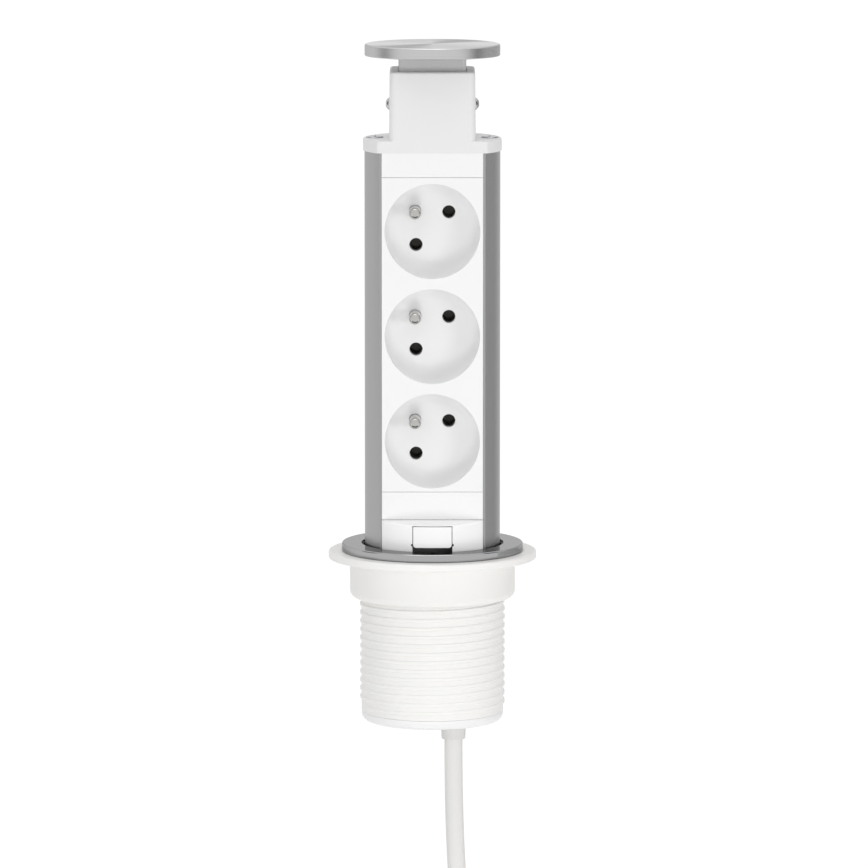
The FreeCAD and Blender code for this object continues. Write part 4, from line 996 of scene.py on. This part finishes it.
@dataclass(frozen=True)
class PlugRelief:
    """Ribbed sleeve, moulded over the plug's neck, round the lead. Sizes in millimetres."""

    shoulder_r: float = 9.5
    neck_r: float = 6.9
    tip_r: float = 4.5
    bore_r: float = 3.8
    neck: float = 16.0
    tip: float = 9.0
    rib_pitch: float = 2.8
    rib_depth: float = 0.45
    steps_per_rib: int = 10
    segments: int = 72

    def build(self, material: bpy.types.Material) -> bpy.types.Object:
        """Makes the sleeve by turning its outline about the lead.

        The outline's radius falls in two straight runs from shoulder to tip, less a half cosine that
        dips once per rib and fades out at both ends.

        Args:
            material: The sleeve's finish.

        Returns:
            The sleeve.
        """
        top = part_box("plug_body")[1]
        centre_x, centre_y = (np.array(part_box("plug_body")[0][:2]) + np.array(top[:2])) / 2
        length = self.neck + self.tip
        count = round(length / self.rib_pitch)
        t = np.linspace(0, length, count * self.steps_per_rib + 1)
        taper = np.interp(t, [0, self.neck, length], [self.shoulder_r, self.neck_r, self.tip_r])
        dip = self.rib_depth * (1 - np.cos(2 * np.pi * t * count / length)) / 2
        radii = np.concatenate([[self.bore_r], taper - dip, [self.bore_r]]) * MM
        z = np.concatenate([[0], t, [length]]) * MM + top[2] - self.neck * MM
        angle = np.linspace(0, 2 * np.pi, self.segments, endpoint=False)
        x = centre_x + np.outer(radii, np.cos(angle))
        y = centre_y + np.outer(radii, np.sin(angle))
        points = np.stack([x, y, np.broadcast_to(z[:, None], x.shape)], axis=-1).reshape(-1, 3)
        faces = grid_faces(len(z), self.segments, rows_close=True, columns_close=True)
        relief = mesh_object("plug_relief", points, faces.tolist(), material)
        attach(relief, "tower")
        log.info("plug relief: %d ribs", count)
        return relief


@dataclass(frozen=True)
class StrapEnd:
    """Loose end of the hook-and-loop strap, folded over the band. Sizes in millimetres."""

    length: float = 31.0
    width: float = 11.4
    thickness: float = 1.0
    start_x: float = -22.0
    air: float = 0.1
    lift: float = 1.6
    tip_share: float = 0.995
    across: int = 12
    along: int = 40

    def build(self, material: bpy.types.Material) -> bpy.types.Object:
        """Makes the strap's end: a thin sheet with a round tip that lifts off the band a little.

        Its height above the band grows with the cube of the distance from the fold, and its half
        width shrinks near the tip as a circle does, which stops just short of a point.

        Args:
            material: The strap's finish.

        Returns:
            The strap's end.
        """
        low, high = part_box("hank_tie")
        middle = (low[2] + high[2]) / 2
        u = np.linspace(0, 1, self.along + 1)
        v = np.linspace(-1, 1, self.across + 1)
        round_r = self.width / 2
        past = np.clip(u * self.length - (self.length - round_r), 0, round_r * self.tip_share)
        half = np.sqrt(round_r**2 - past**2)
        x = (self.start_x + u * self.length) * MM
        y = low[1] - (self.thickness / 2 + self.air + self.lift * u**3) * MM
        z = middle + np.outer(half, v) * MM
        rows = [np.broadcast_to(x[:, None], z.shape), np.broadcast_to(y[:, None], z.shape), z]
        points = np.stack(rows, axis=-1).reshape(-1, 3)
        # Each face's corners the other way round, so that it looks away from the hank
        faces = grid_faces(self.along + 1, self.across + 1)[:, [0, 3, 2, 1]]
        end = mesh_object("strap_end", points, faces.tolist(), material)
        solid = end.modifiers.new("thickness", "SOLIDIFY")
        solid.thickness = self.thickness * MM
        solid.offset = 0
        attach(end, "tower")
        log.info("strap end: %.0f by %.1f mm", self.length, self.width)
        return end


@dataclass(frozen=True)
class CoilSpring:
    """Compression spring with closed ends. Sizes in millimetres."""

    node: str
    joint: str
    axis: int
    still_end: int
    wire_r: float
    turns: int
    travel: float
    closed_share: float = 0.35
    closed_turns: float = 0.8
    open_after: float = 1.6
    steps_per_turn: int = 32
    segments: int = 14

    def build(self, material: bpy.types.Material) -> bpy.types.Object:
        """Carries a round wire along a helix that rises less in its first and last turns.

        The rise at each step is the running sum of a rate, which is low over the end turns and 1 between
        them. A ring of the wire lies on the outward direction and on the tangent crossed with it.

        Args:
            material: The wire's finish.

        Returns:
            The spring.
        """
        corners = np.array(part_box(self.node)) / MM
        centre = corners.mean(axis=0)
        size = corners[1] - corners[0]
        across = [i for i in range(3) if i != self.axis]
        coil_r = size[across].min() / 2 - self.wire_r
        t = np.linspace(0, 1, self.turns * self.steps_per_turn + 1)
        closed, opened = self.closed_turns / self.turns, self.open_after / self.turns
        rates = [self.closed_share, self.closed_share, 1, 1, self.closed_share, self.closed_share]
        rate = np.interp(t, [0, closed, opened, 1 - opened, 1 - closed, 1], rates)
        rise = np.concatenate([[0], np.cumsum(rate[1:])])
        angle = 2 * np.pi * self.turns * t
        outward = np.zeros((len(t), 3))
        outward[:, across[0]] = np.cos(angle)
        outward[:, across[1]] = np.sin(angle)
        path = centre + coil_r * outward
        path[:, self.axis] += (rise / rise[-1] - 0.5) * (size[self.axis] - 2 * self.wire_r)
        tangent = np.gradient(path, axis=0)
        tangent /= np.linalg.norm(tangent, axis=1, keepdims=True)
        sideways = np.cross(tangent, outward)
        turn = np.linspace(0, 2 * np.pi, self.segments, endpoint=False)[None, :, None]
        round_wire = np.cos(turn) * outward[:, None] + np.sin(turn) * sideways[:, None]
        points = (path[:, None] + self.wire_r * round_wire).reshape(-1, 3) * MM
        faces = grid_faces(len(t), self.segments, columns_close=True).tolist()
        faces.append(list(reversed(range(self.segments))))
        faces.append(list(range(len(points) - self.segments, len(points))))
        spring = mesh_object(f"{self.node}_coil", points, faces, material)
        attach(spring, "tower")
        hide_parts(self.node)
        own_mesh(spring)
        return spring


def main() -> None:
    """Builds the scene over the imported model."""
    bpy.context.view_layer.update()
    finishes = Finishes()
    finishes.apply()
    Studio().build()
    springs = [
        CoilSpring("cap_spring", "cap_press", axis=2, still_end=0, wire_r=0.55, turns=7, travel=5.0),
        CoilSpring("latch_spring", "latch_press", axis=1, still_end=1, wire_r=0.3, turns=5, travel=0.8),
    ]
    for spring in springs:
        spring.build(finishes.by_slot["steel"])
    cord_white = finishes.by_slot["cord_white"]
    relief = PlugRelief().build(cord_white)
    strap_end = StrapEnd().build(finishes.by_slot["tie_black"])
    on_lead = ["hank_tie", "plug_body", "plug_pins", "plug_earth_clips", relief, strap_end]
    MainsLead().build(cord_white, on_lead)


if __name__ == "__main__":
    main()
